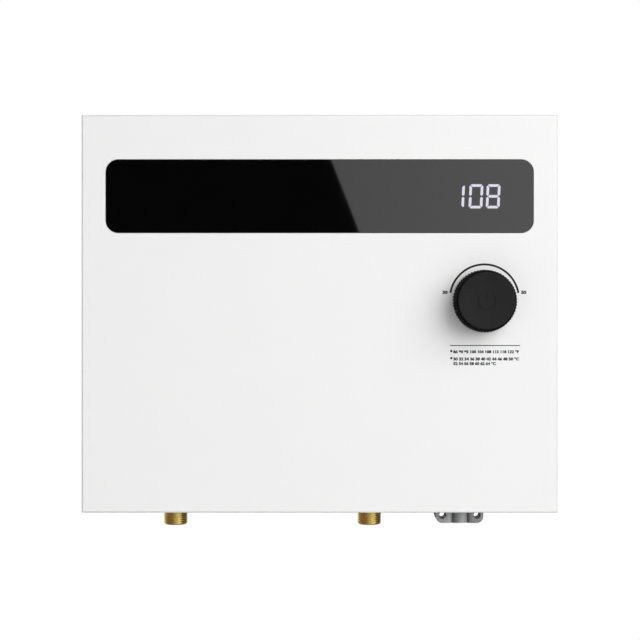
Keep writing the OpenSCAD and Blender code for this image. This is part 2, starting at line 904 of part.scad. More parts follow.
module lower_manifold()
{
    socket_z = lower_z1 - socket_l;
    color("darkslategray") difference() {
        manifold_block(lower_z0);
        for (i = [0 : chambers - 1]) {
            is_port = i == 0 || i == chambers - 1;
            passage_z = is_port ? lower_z0 - cut : lower_z0 + floor_t;
            at(chamber_x(i), fitting_f, socket_z) cylinder(h = socket_l + cut, r = tube_d / 2 + fit_gap);
            at(chamber_x(i), fitting_f, passage_z) cylinder(h = socket_z - passage_z + cut, r = passage_r);
        }
        crossover(1, cross_low_z);
        manifold_fixings();
        probe_places() translate([0, 0, -probe_l - fit_gap])
            cylinder(h = probe_l + fit_gap + cut, r = probe_r + thread_gap);
    }
}

module upper_manifold()
{
    color("darkslategray") difference() {
        manifold_block(upper_z0);
        for (i = [0 : chambers - 1]) {
            at(chamber_x(i), fitting_f, upper_z0 - cut)
                cylinder(h = socket_l + cut, r = tube_d / 2 + fit_gap);
            at(chamber_x(i), fitting_f, upper_z0) cylinder(h = manifold_h + cut, r = plug_r + fit_gap);
        }
        crossover(0, cross_high_z);
        crossover(2, cross_high_z);
        manifold_fixings();
    }
}

module heating_chamber(i)
{
    tube_z0 = lower_z1 - socket_l + seal_t;
    tube_z1 = upper_z0 + socket_l - seal_t;
    color("silver") at(chamber_x(i), fitting_f, tube_z0)
        ring(tube_z1 - tube_z0, tube_d / 2, tube_d / 2 - tube_wall);
}

module chamber_seals()
{
    seal_in_r = tube_d / 2 - 2 * tube_wall;
    color("dimgray") for (i = [0 : chambers - 1], z = [lower_z1 - socket_l, upper_z0 + socket_l - seal_t])
        at(chamber_x(i), fitting_f, z) ring(seal_t, tube_d / 2, seal_in_r);
}

// A hairpin element with a hex head, two insulating beads and two terminal posts
module heating_element(i)
{
    bend_z = lower_z1 + leg_clear;
    leg_top_z = upper_z1 - plug_l;
    head_z = upper_z1 + gasket_t;
    color("lightgray") at(chamber_x(i), fitting_f, 0) {
        translate([0, 0, head_z]) hex(head_h, element_af);
        translate([0, 0, leg_top_z]) cylinder(h = head_z - leg_top_z, r = plug_r);
        for (side = [-1, 1])
            translate([0, side * leg_off, 0]) {
                translate([0, 0, bend_z]) cylinder(h = leg_top_z - bend_z, d = sheath_d);
                translate([0, 0, head_z + head_h]) cylinder(h = bead_h, r = bead_r);
                translate([0, 0, head_z + head_h + bead_h]) cylinder(h = post_h, r = post_r);
            }
        translate([0, 0, bend_z]) rotate([0, 90, 0]) rotate([0, 0, -90]) rotate_extrude(angle = 180)
            translate([leg_off, 0]) circle(d = sheath_d);
    }
}

module element_gaskets()
{
    color("dimgray") for (i = [0 : chambers - 1])
        at(chamber_x(i), fitting_f, upper_z1) ring(gasket_t, element_af / 2, plug_r + fit_gap);
}

module tie_rods()
{
    rod_l = upper_z1 + rod_nut_h + rod_r - lower_z0;
    color("silver") tie_rod_places() translate([0, 0, lower_z0]) {
        cylinder(h = rod_l, r = rod_r);
        translate([0, 0, -rod_head_h]) hex(rod_head_h, rod_nut_af);
    }
}

module tie_nuts()
{
    color("silver") tie_rod_places() translate([0, 0, upper_z1]) difference() {
        hex(rod_nut_h, rod_nut_af);
        translate([0, 0, -cut]) cylinder(h = rod_nut_h + 2 * cut, r = rod_r + thread_gap);
    }
}

// Hat-section brackets, their webs on the manifolds' backs and their feet on the chassis
module exchanger_brackets()
{
    web_h = manifold_h - 2 * bracket_inset;
    color("gainsboro") difference() {
        for (z = [lower_z0 + bracket_inset, upper_z0 + bracket_inset]) {
            wall_block(exchanger_x, manifold_back_f - sheet, z, bracket_l, sheet, web_h);
            for (leg_z = [z, z + web_h - sheet])
                wall_block(exchanger_x, sheet, leg_z, bracket_l, manifold_back_f - sheet, sheet);
            for (foot_z = [z - bracket_foot, z + web_h])
                wall_block(exchanger_x, sheet, foot_z, bracket_l, sheet, bracket_foot);
        }
        bracket_screw_places() facing_front() translate([0, 0, -cut])
            cylinder(h = sheet + 2 * cut, r = bracket_screw_d / 2 + fit_gap);
    }
}

module bracket_screws()
{
    color("silver") bracket_screw_places() facing_front()
        rotate([180, 0, 0]) pan_screw(bracket_screw_d, bracket_screw_l);
}

// Flow sensor, probes and cut-outs

module turbine_cage()
{
    rim_r = passage_r - fit_gap;
    rim_t = 1.2;
    hub_r = 2.5;
    spokes = 3;
    axle_l = cage_h + turbine_h + 2 * turbine_gap;
    head_t = 1;
    color("ivory") at(inlet_x, fitting_f, cage_z) {
        ring(cage_h, rim_r, rim_r - rim_t);
        cylinder(h = cage_h, r = hub_r);
        cylinder(h = axle_l, r = axle_r);
        translate([0, 0, axle_l]) cylinder(h = head_t, r = 2 * axle_r);
        for (i = [0 : spokes - 1])
            rotate([0, 0, 360 * i / spokes]) translate([0, -rim_t / 2, 0]) cube([rim_r - rim_t / 2, rim_t, cage_h]);
    }
}

module flow_turbine()
{
    vane_t = 1;
    vane_tilt = 40;
    color("black") at(inlet_x, fitting_f, turbine_z) difference() {
        intersection() {
            union() {
                cylinder(h = turbine_h, r = turbine_hub_r);
                for (i = [0 : turbine_vanes - 1])
                    rotate([0, 0, 360 * i / turbine_vanes]) translate([0, 0, turbine_h / 2])
                        rotate([vane_tilt, 0, 0])
                        translate([0, -vane_t / 2, -turbine_h]) cube([turbine_r, vane_t, 2 * turbine_h]);
            }
            cylinder(h = turbine_h, r = turbine_r);
        }
        translate([0, 0, -cut]) cylinder(h = turbine_h + 2 * cut, r = axle_r + run_gap);
    }
}

module flow_pickup()
{
    pickup_w = 14;
    pickup_t = 7;
    pickup_h = 10;
    color("black") wall_block(inlet_x, manifold_back_f - pickup_t, turbine_z, pickup_w, pickup_t, pickup_h);
}

module probe_places()
{
    for (x = [outlet_x, inlet_x])
        at(x, manifold_front_f, cross_low_z) facing_front() children();
}

module temperature_probes()
{
    color("goldenrod") probe_places() {
        translate([0, 0, -probe_l]) cylinder(h = probe_l, r = probe_r);
        hex(probe_head, probe_af);
    }
}

module cutout_place(i)
{
    at(chamber_x(i), manifold_front_f, cutout_z) facing_front() children();
}

module thermal_cutouts()
{
    tab_w = 6;
    tab_t = 0.8;
    tab_l = 15;
    color("saddlebrown") for (i = [0, 2])
        cutout_place(i) difference() {
            union() {
                cylinder(h = cutout_t, r = cutout_r);
                for (side = [-1, 1])
                    translate([side * cutout_r / 2 - tab_w / 2, 0, cutout_t / 2]) cube([tab_w, tab_l, tab_t]);
            }
            translate([0, 0, cutout_floor])
                cylinder(h = cutout_t - cutout_wall - cutout_floor, r = cutout_cavity_r);
            translate([0, 0, cutout_floor]) cylinder(h = cutout_t, r = button_r + run_gap);
        }
}

module reset_button(i)
{
    collar_z = cutout_t - cutout_wall - run_gap - button_collar_t;
    color("red") cutout_place(i) {
        translate([0, 0, collar_z]) cylinder(h = button_collar_t, r = button_collar_r);
        translate([0, 0, collar_z]) cylinder(h = cutout_t + button_out - collar_z, r = button_r);
    }
}

// Supply cable clamp and terminals

// The clamp seen from above: a deep block with an ear at each side and two grooves beside a round barrel
module clamp_section()
{
    face = barrel_r;
    barrel_edge = sqrt(barrel_r * barrel_r - barrel_half_w * barrel_half_w);
    ear_w = ear_spacing + 2 * ear_r;
    difference() {
        union() {
            difference() {
                translate([-ear_w / 2, -face]) square([ear_w, ear_t]);
                polygon([[-barrel_half_w - groove_w, -face - cut], [-barrel_half_w - groove_w, -face],
                    [-barrel_half_w, -barrel_edge], [barrel_half_w, -barrel_edge],
                    [barrel_half_w + groove_w, -face], [barrel_half_w + groove_w, -face - cut]]);
            }
            difference() {
                circle(barrel_r);
                translate([-barrel_r, 0]) square([2 * barrel_r, barrel_r]);
            }
        }
        circle(barrel_in_r);
    }
}

// The clamp seen from the front: straight sides and rounded lower corners
module clamp_outline()
{
    ear_w = ear_spacing + 2 * ear_r;
    height = clamp_z1 - clamp_z0;
    translate([-ear_w / 2, ear_r]) square([ear_w, height - ear_r]);
    translate([-ear_spacing / 2, 0]) square([ear_spacing, height]);
    for (side = [-1, 1])
        translate([side * ear_spacing / 2, ear_r]) circle(ear_r);
}

module cable_clamp()
{
    neck_l = sheet + clamp_nut_t + clamp_neck_out;
    flare = 0.8;
    color("darkgray") difference() {
        union() {
            intersection() {
                at(clamp_x, clamp_f, clamp_z0) linear_extrude(clamp_z1 - clamp_z0) clamp_section();
                at(clamp_x, clamp_f + barrel_r - ear_t - cut, clamp_z0) facing_front()
                    linear_extrude(ear_t + 2 * cut) clamp_outline();
            }
            at(clamp_x, clamp_f, throat_z - throat_l) cylinder(h = throat_l, r = barrel_r);
            at(clamp_x, clamp_f, clamp_z1) cylinder(h = shoulder_t, r = shoulder_r);
            at(clamp_x, clamp_f, shelf_z0) cylinder(h = neck_l, d = neck_d);
        }
        at(clamp_x, clamp_f, throat_z - throat_l - cut) cylinder(h = throat_l + 2 * cut, d = cable_d);
        at(clamp_x, clamp_f, throat_z) cylinder(h = case_h, r = barrel_in_r);
        for (side = [-1, 1])
            at(clamp_x + side * ear_spacing / 2, clamp_f + barrel_r, clamp_z0 + ear_hole_up) facing_front() {
                translate([0, 0, -ear_t - cut]) cylinder(h = ear_t + 2 * cut, d = ear_hole_d);
                translate([0, 0, -flare]) cylinder(h = flare, r1 = ear_hole_d / 2, r2 = ear_hole_d / 2 + flare);
                translate([0, 0, -ear_t - cut]) rotate(30) hex(ear_nut_deep + cut, ear_nut_af);
            }
    }
}

module clamp_locknut()
{
    lugs = 8;
    notch_w = 4;
    color("silver") at(clamp_x, clamp_f, shelf_z1) difference() {
        ring(clamp_nut_t, clamp_nut_r, neck_d / 2 + thread_gap);
        for (i = [0 : lugs - 1])
            rotate([0, 0, 360 * i / lugs]) translate([clamp_nut_r - 2, -notch_w / 2, -cut])
                cube([notch_w, notch_w, clamp_nut_t + 2 * cut]);
    }
}

module terminal_screw_places()
{
    for (i = [0 : poles - 1])
        at(pole_x(i), sheet + terminal_d - pole_pocket_deep, (terminal_z0 + terminal_z1) / 2)
            facing_front() children();
}

module terminal_block()
{
    barrier = 4;
    pocket_h = terminal_h - 2 * pole_pocket_end;
    entry_r = 5;
    entry_l = 10;
    color("dimgray") difference() {
        wall_block(bay_x, sheet, terminal_z0, terminal_w, terminal_d, terminal_h);
        for (i = [0 : poles - 1]) {
            wall_block(pole_x(i), sheet + terminal_d - pole_pocket_deep, terminal_z0 + pole_pocket_end,
                pole_w - barrier, terminal_d, pocket_h);
            at(pole_x(i), sheet + terminal_d / 2, terminal_z0 - cut) cylinder(h = entry_l + cut, r = entry_r);
        }
        terminal_screw_places() translate([0, 0, -terminal_screw_l - fit_gap])
            cylinder(h = terminal_screw_l + cut, r = terminal_screw_d / 2 + thread_gap);
    }
}

module terminal_screws()
{
    color("goldenrod") terminal_screw_places() pan_screw(terminal_screw_d, terminal_screw_l);
}

module ground_lug()
{
    lug = 14;
    hole_d = 6;
    lug_z = shelf_z1 + 24;
    color("goldenrod") difference() {
        wall_block(bay_x0 + lug, sheet, lug_z, lug, lug, lug);
        at(bay_x0 + lug, sheet + lug / 2, lug_z - cut) cylinder(h = lug + 2 * cut, d = hole_d);
        at(bay_x0 + lug, sheet + lug / 2, lug_z + lug / 2) facing_front() cylinder(h = lug, d = hole_d - 1);
    }
}

// Power electronics

module standoff_places()
{
    for (side = [-1, 1], z = [power_z0 + standoff_inset, power_z1 - standoff_inset])
        at(bay_x + side * (power_w / 2 - standoff_inset), sheet, z) facing_front() children();
}

module power_board()
{
    color("darkgreen") difference() {
        union() {
            wall_block(bay_x, power_f0, power_z0, power_w, board_t, power_board_h);
            wall_block(bay_x, power_f1, input_z, input_w, input_d, input_h);
        }
        standoff_places() cylinder(h = 2 * standoff_h, r = small_screw_d / 2 + fit_gap);
    }
}

module board_standoffs()
{
    color("silver") standoff_places() difference() {
        cylinder(h = standoff_h, r = standoff_r);
        translate([0, 0, standoff_h - small_screw_l])
            cylinder(h = small_screw_l + cut, r = small_screw_d / 2 + thread_gap);
    }
}

module board_screws()
{
    color("silver") standoff_places() translate([0, 0, power_f1 - sheet])
        pan_screw(small_screw_d, small_screw_l);
}

module relays()
{
    color("royalblue") for (side = [-1, 1])
        wall_block(bay_x + side * relay_off, power_f1, relay_z - relay_h / 2, relay_w, relay_d, relay_h);
}

module triacs()
{
    leg_w = 1.2;
    leg_t = 0.8;
    leg_gap = 5;
    leg_up = 1;
    leg_z = power_z1 + leg_up;
    color("black") for (i = [0 : chambers - 1]) {
        wall_block(triac_x(i), sheet + sink_base, triac_z - triac_h / 2, triac_w, triac_t, triac_h);
        for (k = [-1 : 1])
            wall_block(triac_x(i) + k * leg_gap, sheet + sink_base + leg_t, leg_z,
                leg_w, leg_t, triac_z - triac_h / 2 - leg_z + leg_t);
    }
}

module heat_sink()
{
    fin_pitch = (sink_w - sink_fin_t) / (sink_fins - 1);
    color("silver") {
        wall_block(bay_x, sheet, sink_z0, sink_w, sink_base, sink_z1 - sink_z0);
        for (i = [0 : sink_fins - 1])
            wall_block(bay_x - sink_w / 2 + sink_fin_t / 2 + i * fin_pitch, sheet + sink_base,
                sink_z0 + triac_zone, sink_fin_t, sink_fin_l, sink_z1 - sink_z0 - triac_zone);
    }
}

// Leads

module line_leads()
{
    start_f = sheet + terminal_d / 2;
    end_f = power_f1 + input_d / 2;
    end_pitch = input_w / poles;
    stub = 6;
    color("firebrick") for (i = [0 : poles - 1]) {
        end_x = bay_x + (i - (poles - 1) / 2) * end_pitch;
        lead(rounded_path([
            place(pole_x(i), start_f, terminal_z1),
            place(pole_x(i), start_f, terminal_z1 + stub),
            place(end_x, end_f, input_z - stub),
            place(end_x, end_f, input_z)], stub / 2, 4));
    }
}

// Each element has one lead to its triac and one to a relay, and the farthest element's leads run highest
module element_leads()
{
    post_back_f = fitting_f - leg_off;
    post_front_f = fitting_f + leg_off;
    for (i = [0 : chambers - 1]) {
        run_z = post_z + lead_rise + (chambers - 1 - i) * lead_step;
        triac_at = triac_x(chambers - 1 - i);
        relay_at = relay_lead_x(chambers - 1 - i);
        color("firebrick") lead(rounded_path([
            place(chamber_x(i), post_back_f, post_z),
            place(chamber_x(i), post_back_f, run_z),
            place(triac_at, post_back_f, run_z),
            place(triac_at, post_back_f, triac_z),
            place(triac_at, triac_f, triac_z)], lead_bend, 4));
        color("black") lead(rounded_path([
            place(chamber_x(i), post_front_f, post_z),
            place(chamber_x(i), post_front_f, run_z),
            place(relay_at, post_front_f, run_z),
            place(relay_at, post_front_f, relay_z),
            place(relay_at, power_f1 + relay_d, relay_z)], lead_bend, 4));
    }
}

module ribbon_cable()
{
    steps = 12;
    f0 = power_f1;
    f1 = control_f - board_t;
    middle = [for (s = [0 : steps])
        let(t = s / steps)
        [-f0 - t * (f1 - f0), ribbon_z0 + (ribbon_z1 - ribbon_z0) * t * t * (3 - 2 * t)]];
    band = concat(
        [for (p = middle) p + [0, ribbon_t / 2]],
        [for (s = [steps : -1 : 0]) middle[s] - [0, ribbon_t / 2]]);
    color("lightgray") translate([bay_x - ribbon_w / 2, 0, 0])
        rotate([90, 0, 90]) linear_extrude(ribbon_w) polygon(band);
}

front_cover();
rear_chassis();
cover_screws();
cover_nuts();
display_lens();
lens_tape();
digit_display();
control_board();
control_pillars();
control_screws();
encoder_body();
encoder_nut();
encoder_plunger();
encoder_shaft();
knob_core();
knob_grip();
knob_cap();
outlet_fitting();
inlet_fitting();
fitting_locknuts();
fitting_seals();
inlet_filter();
lower_manifold();
upper_manifold();
heating_chamber(0);  // heating_chamber_1
heating_chamber(1);  // heating_chamber_2
heating_chamber(2);  // heating_chamber_3
heating_chamber(3);  // heating_chamber_4
chamber_seals();
heating_element(0);  // heating_element_1
heating_element(1);  // heating_element_2
heating_element(2);  // heating_element_3
heating_element(3);  // heating_element_4
element_gaskets();
tie_rods();
tie_nuts();
exchanger_brackets();
bracket_screws();
turbine_cage();
flow_turbine();
flow_pickup();
temperature_probes();
thermal_cutouts();
reset_button(0);  // reset_button_1
reset_button(2);  // reset_button_2
cable_clamp();
clamp_locknut();
terminal_block();
terminal_screws();
ground_lug();
power_board();
board_standoffs();
board_screws();
relays();
triacs();
heat_sink();
line_leads();
element_leads();
ribbon_cable();
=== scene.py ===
# %% [markdown]
# # A tankless electric water heater
# The heater is a flat white steel box that hangs on a wall. On its front are a black display strip and a
# ribbed black knob, and below it are two brass pipe threads and a grey cable clamp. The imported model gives
# every solid at its place, in metres, with +Z up and the front facing -Y. This lesson gives the solids their
# real surfaces, and models again what they only hint at, such as the helical threads.

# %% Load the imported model
import json
import math

import bpy
from mathutils import Matrix, Vector

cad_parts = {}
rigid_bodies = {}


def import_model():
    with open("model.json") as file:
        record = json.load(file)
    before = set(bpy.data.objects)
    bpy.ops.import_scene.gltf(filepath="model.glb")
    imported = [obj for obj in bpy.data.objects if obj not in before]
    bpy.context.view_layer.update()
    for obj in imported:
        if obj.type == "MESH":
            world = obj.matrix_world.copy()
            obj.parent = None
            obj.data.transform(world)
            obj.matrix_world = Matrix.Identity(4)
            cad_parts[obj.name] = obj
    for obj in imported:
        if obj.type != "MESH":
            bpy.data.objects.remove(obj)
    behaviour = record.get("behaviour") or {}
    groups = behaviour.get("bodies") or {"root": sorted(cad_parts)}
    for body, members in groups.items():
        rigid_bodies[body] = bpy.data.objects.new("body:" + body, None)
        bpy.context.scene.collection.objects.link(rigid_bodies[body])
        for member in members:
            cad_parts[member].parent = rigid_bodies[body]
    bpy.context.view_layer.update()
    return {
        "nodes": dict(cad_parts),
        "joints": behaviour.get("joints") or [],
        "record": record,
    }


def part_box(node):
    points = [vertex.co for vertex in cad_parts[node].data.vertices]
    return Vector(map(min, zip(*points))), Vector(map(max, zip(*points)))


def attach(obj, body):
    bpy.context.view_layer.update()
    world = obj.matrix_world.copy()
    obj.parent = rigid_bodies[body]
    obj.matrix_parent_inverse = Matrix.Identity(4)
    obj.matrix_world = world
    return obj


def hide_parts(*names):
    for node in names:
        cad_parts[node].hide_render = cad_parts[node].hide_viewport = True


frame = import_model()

nodes = frame["nodes"]
mounts = {mount["name"]: mount for mount in frame["record"]["mounts"]}
joints = {joint["name"]: joint for joint in frame["joints"]}
mm = 0.001

# %% [markdown]
# ## The camera
# The photograph looks at the heater level and square on, from about a metre and a half, through a long lens.
# The camera could be found by eye, but here the case's own width and height in the picture fix it. It comes
# first, because every later choice is judged through it.

# %% Add the camera
camera_at = (0.0003, -1.536, -0.0055)
film_width = 36
focal_length = 92.55
bpy.ops.object.select_all(action="DESELECT")
bpy.ops.object.camera_add(location=camera_at, rotation=(math.radians(90), 0, 0))
camera = bpy.context.object
camera.name = "photo_camera"
camera.data.sensor_width = film_width
camera.data.lens = focal_length
bpy.context.scene.camera = camera
print("camera at", tuple(camera.location), "with a lens of", camera.data.lens, "mm")

# %% [markdown]
# ## Working by hand
# Blender's operators act on whatever is selected, so each step starts by selecting one piece alone. Inside a
# piece, points, edges and faces are selected by a test on their place. A few small helpers keep the steps
# short: they select, add a modifier and apply it, cut one shape with another, and sweep an outline round.

# %% Helpers that select
def clear():
    """Go back to object mode, with nothing selected."""
    if bpy.context.mode != "OBJECT":
        bpy.ops.object.mode_set(mode="OBJECT")
    bpy.ops.object.select_all(action="DESELECT")


def work_on(piece):
    """Select one piece alone, in object mode."""
    clear()
    piece.select_set(True)
    bpy.context.view_layer.objects.active = piece


def pick(piece, kind, test):
    """Open a piece in edit mode with only the points, edges or faces selected that pass the test."""
    work_on(piece)
    bpy.context.tool_settings.mesh_select_mode = [kind == "VERT", kind == "EDGE", kind == "FACE"]
    mesh = piece.data
    for group in (mesh.vertices, mesh.edges, mesh.polygons):
        group.foreach_set("select", [False] * len(group))
    if kind == "VERT":
        for vertex in mesh.vertices:
            vertex.select = test(vertex)
    elif kind == "EDGE":
        for edge in mesh.edges:
            edge.select = test(*[mesh.vertices[end].co for end in edge.vertices])
    else:
        for face in mesh.polygons:
            face.select = test(face)
    bpy.ops.object.mode_set(mode="EDIT")


def everything(element):
    return True


def started(name):
    """Name the shape just added and put its place into its mesh."""
    piece = bpy.context.object
    piece.name = piece.data.name = name
    work_on(piece)
    bpy.ops.object.transform_apply(location=True, rotation=True, scale=True)
    return piece


# %% Helpers that shape
def modify(piece, kind, **settings):
    """Add a modifier with its settings and apply it."""
    work_on(piece)
    modifier = piece.modifiers.new(kind.lower(), kind)
    for name, setting in settings.items():
        setattr(modifier, name, setting)
    bpy.ops.object.modifier_apply(modifier=modifier.name)


def shape_with(piece, tool, operation):
    """Cut, join or trim a piece with a tool shape, which is then thrown away."""
    modify(piece, "BOOLEAN", operation=operation, solver="EXACT", use_self=True, object=tool)
    bpy.data.objects.remove(tool)


def clean(piece):
    """Merge doubled points, close open ends and turn every face outwards."""
    pick(piece, "VERT", everything)
    bpy.ops.mesh.remove_doubles(threshold=0.001 * mm)
    bpy.ops.mesh.fill_holes(sides=0)
    bpy.ops.mesh.normals_make_consistent(inside=False)
    work_on(piece)


def copied(piece, name, move):
    """Duplicate a piece, with a mesh of its own, at another place."""
    work_on(piece)
    bpy.ops.object.duplicate()
    bpy.ops.transform.translate(value=move)
    return started(name)


def outline(name, points):
    """Draw an open line through points (radius, height), seen from the front, from one extruded point."""
    first, *others = [Vector((radius, 0, height)) for radius, height in points]
    clear()
    bpy.ops.mesh.primitive_plane_add(size=mm, location=first)
    piece = started(name)
    pick(piece, "VERT", everything)
    bpy.ops.mesh.merge(type="CENTER")
    for start, end in zip([first, *others], others):
        bpy.ops.mesh.extrude_vertices_move(TRANSFORM_OT_translate={"value": end - start})
    return piece


def turned(name, points, steps=64):
    """Turn an outline about the Z axis, as on a lathe."""
    piece = outline(name, points)
    pick(piece, "VERT", everything)
    bpy.ops.mesh.spin(steps=steps, angle=2 * math.pi, center=(0, 0, 0), axis=(0, 0, 1))
    clean(piece)
    return piece


def threaded(name, crest, root, pitch, low, high, steps=64):
    """Sweep one tooth of a screw thread up a helix about the Z axis and cut both ends flat."""
    flat = pitch / 3
    slope = pitch / 5
    foot = low - pitch
    piece = outline(name, [(root, foot), (crest, foot + slope), (crest, foot + slope + flat),
                           (root, foot + 2 * slope + flat), (root, foot + pitch)])
    turns = math.ceil((high - low) / pitch) + 3
    modify(piece, "SCREW", axis="Z", angle=2 * math.pi, screw_offset=pitch, iterations=turns,
           steps=steps, render_steps=steps)
    pick(piece, "VERT", everything)
    bpy.ops.mesh.remove_doubles(threshold=0.01 * mm)
    bpy.ops.mesh.bisect(plane_co=(0, 0, low), plane_no=(0, 0, 1), use_fill=True, clear_inner=True)
    bpy.ops.mesh.select_all(action="SELECT")
    bpy.ops.mesh.bisect(plane_co=(0, 0, high), plane_no=(0, 0, 1), use_fill=True, clear_outer=True)
    clean(piece)
    return piece


# %% [markdown]
# ## Shader maths
# A finish is worked out by nodes. Written out one by one, nodes hide the sum that they stand for, so a small
# class wraps a number in the tree and lets Python's own signs add the Math nodes. Every other node comes from
# one method. A finish reads Object coordinates, which are metres here, so grain sizes are real sizes.

# %% Numbers and nodes
class Value:
    """A number on its way through a node tree. Arithmetic on it adds Math nodes."""

    def __init__(self, web, socket):
        self.web = web
        self.socket = socket

    def math(self, operation, *numbers):
        made = self.web.node("Math", {"operation": operation}, dict(enumerate(numbers)))
        return Value(self.web, made.outputs[0])

    def __add__(self, other):
        return self.math("ADD", self, other)

    def __radd__(self, other):
        return self.math("ADD", other, self)

    def __sub__(self, other):
        return self.math("SUBTRACT", self, other)

    def __rsub__(self, other):
        return self.math("SUBTRACT", other, self)

    def __mul__(self, other):
        return self.math("MULTIPLY", self, other)

    def __rmul__(self, other):
        return self.math("MULTIPLY", other, self)

    def __truediv__(self, other):
        return self.math("DIVIDE", self, other)

    def __pow__(self, power):
        return self.math("POWER", self, power)

    def __gt__(self, other):
        return self.math("GREATER_THAN", self, other)

    def least(self, other):
        return self.math("MINIMUM", self, other)

    def most(self, other):
        return self.math("MAXIMUM", self, other)

    def wave(self):
        return self.math("SINE", self)

    def within(self):
        """The number, held between 0 and 1."""
        return self.most(0).least(1)


class Web:
    """A node tree, with one method that makes any of its nodes."""

    def __init__(self, tree):
        self.tree = tree

    def node(self, kind, settings=None, sockets=None):
        made = self.tree.nodes.new("ShaderNode" + kind)
        for name, setting in (settings or {}).items():
            setattr(made, name, setting)
        for name, given in (sockets or {}).items():
            self.feed(made.inputs[name], given)
        return made

    def feed(self, socket, given):
        """Set a socket to a plain value, or link it to a number or another node's output."""
        if isinstance(given, Value):
            given = given.socket
        if isinstance(given, bpy.types.NodeSocket):
            self.tree.links.new(given, socket)
        else:
            socket.default_value = given

    def mix(self, mask, first, second):
        """A colour that goes from the first to the second as the mask goes from 0 to 1."""
        return self.node("Mix", {"data_type": "RGBA"}, {0: mask, 6: first, 7: second}).outputs[2]


# %% Finishes
class Finish(Web):
    """A material: one Principled shader, and the patterns that vary over it."""

    def __init__(self, name, **settings):
        self.material = bpy.data.materials.new(name)
        self.material.use_nodes = True
        super().__init__(self.material.node_tree)
        self.shader = self.tree.nodes["Principled BSDF"]
        for socket, setting in settings.items():
            self.shader.inputs[socket.replace("_", " ")].default_value = setting
        self.place = self.node("TexCoord").outputs["Object"]

    def along(self):
        """The three coordinates of the place, in metres, as numbers."""
        split = self.node("SeparateXYZ", None, {0: self.place})
        return [Value(self, output) for output in split.outputs]

    def scaled(self, size, stretch):
        """The place in units of a grain size, with the grain drawn out along the stretched axes."""
        factors = [1 / (size * longer) for longer in stretch]
        return self.node("VectorMath", {"operation": "MULTIPLY"}, {0: self.place, 1: factors}).outputs[0]

    def grain(self, size, detail=2.0, stretch=(1, 1, 1)):
        """Soft random grey, from 0 to 1, with grains of about the given size."""
        sockets = {"Vector": self.scaled(size, stretch), "Scale": 1, "Detail": detail}
        return Value(self, self.node("TexNoise", None, sockets).outputs[0])

    def crystals(self, size):
        """A random grey for each cell of a crystal pattern."""
        made = self.node("TexVoronoi", None, {"Vector": self.scaled(size, (1, 1, 1)), "Scale": 1})
        return Value(self, self.node("SeparateColor", None, {0: made.outputs["Color"]}).outputs[0])

    def colour(self, mask, first, second):
        self.feed(self.shader.inputs["Base Color"], self.mix(mask, (*first, 1), (*second, 1)))

    def rough(self, given):
        self.feed(self.shader.inputs["Roughness"], given)

    def relief(self, height, depth, strength=1.0):
        """Raise and sink the surface by a height from 0 to 1, over a depth in metres."""
        bump = self.node("Bump", None, {"Height": height, "Distance": depth, "Strength": strength})
        self.feed(self.shader.inputs["Normal"], bump.outputs[0])


finishes = {}


def keep(slot, finish):
    """Keep a finish as the one that the record's slot takes."""
    finishes[slot] = finish.material
    print(slot, "is", finish.material.name, "with", len(finish.tree.nodes), "nodes")


# %% [markdown]
# ## Finishing a piece
# Every piece ends in the same way: smooth shading up to an angle, normals weighted by face size so that large
# flat faces stay flat beside small rounded edges, its finish, and the body that it moves with.

# %% Helper that finishes
sharp = math.radians(40)


def finished(piece, body, slot, *stands_for, finish=None):
    """Shade a piece, give it its finish, tie it to its body, and hide the solids that it stands for."""
    work_on(piece)
    bpy.ops.object.shade_smooth_by_angle(angle=sharp)
    modify(piece, "WEIGHTED_NORMAL", keep_sharp=True)
    piece.data.materials.clear()
    piece.data.materials.append(finish or finishes[slot])
    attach(piece, body)
    if stands_for:
        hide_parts(*stands_for)
    print(piece.name, "has", len(piece.data.polygons), "faces")


# %% [markdown]
# ## The sheet steel case
# The cover is folded from one sheet and powder coated, and the chassis behind it is bare galvanised sheet.
# Their solids already have the right folds, holes and notches. What they lack is the small rounding that a
# punched and painted edge has, so a copy of each mesh is joined up and its sharp edges are bevelled. Painted
# shade greys the coat in a narrow strip along the front's right edge, and half as much along its top and
# bottom.

# %% Helper that softens a solid's edges
def softened(node, width):
    """Copy a solid's mesh as a new piece, join its triangles and round its sharp edges."""
    piece = bpy.data.objects.new(node + "_finished", nodes[node].data.copy())
    bpy.context.scene.collection.objects.link(piece)
    pick(piece, "VERT", everything)
    bpy.ops.mesh.remove_doubles(threshold=0.001 * mm)
    bpy.ops.mesh.customdata_custom_splitnormals_clear()
    bpy.ops.mesh.dissolve_limited(angle_limit=math.radians(0.5))
    modify(piece, "BEVEL", width=width, segments=2, limit_method="ANGLE", angle_limit=sharp)
    return piece


# %% White powder coat
coat = Finish("white_powder_coat", IOR=1.5)
peel = coat.grain(1.6 * mm, detail=3)
x, y, z = coat.along()
cover_low, cover_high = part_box("front_cover")
bend_w = 1.8 * mm
lip_w = 1.1 * mm
fade_w = 0.8 * mm
at_front = ((cover_low.y + bend_w - y) / fade_w).within()
at_right = ((x - cover_high.x + bend_w) / fade_w).within()
at_top = ((z - cover_high.z + bend_w) / fade_w).within()
at_bottom = ((cover_low.z + lip_w - z) / fade_w).within()
# Painted shade: the bends along the front's right edge, and half as strongly its top and bottom, are greyed.
painted_bend_shade = at_front * at_right.most(0.5 * at_top.most(at_bottom))
clean_white = (0.875, 0.875, 0.872, 1)
dull_white = (0.858, 0.858, 0.856, 1)
painted_shade_grey = (0.66, 0.66, 0.658, 1)
coat_tone = coat.mix(coat.grain(90 * mm), clean_white, dull_white)
coat.feed(coat.shader.inputs["Base Color"], coat.mix(painted_bend_shade, coat_tone, painted_shade_grey))
coat.rough(0.36 + 0.1 * peel)
coat.relief(peel, 0.02 * mm)
keep("white_coat", coat)

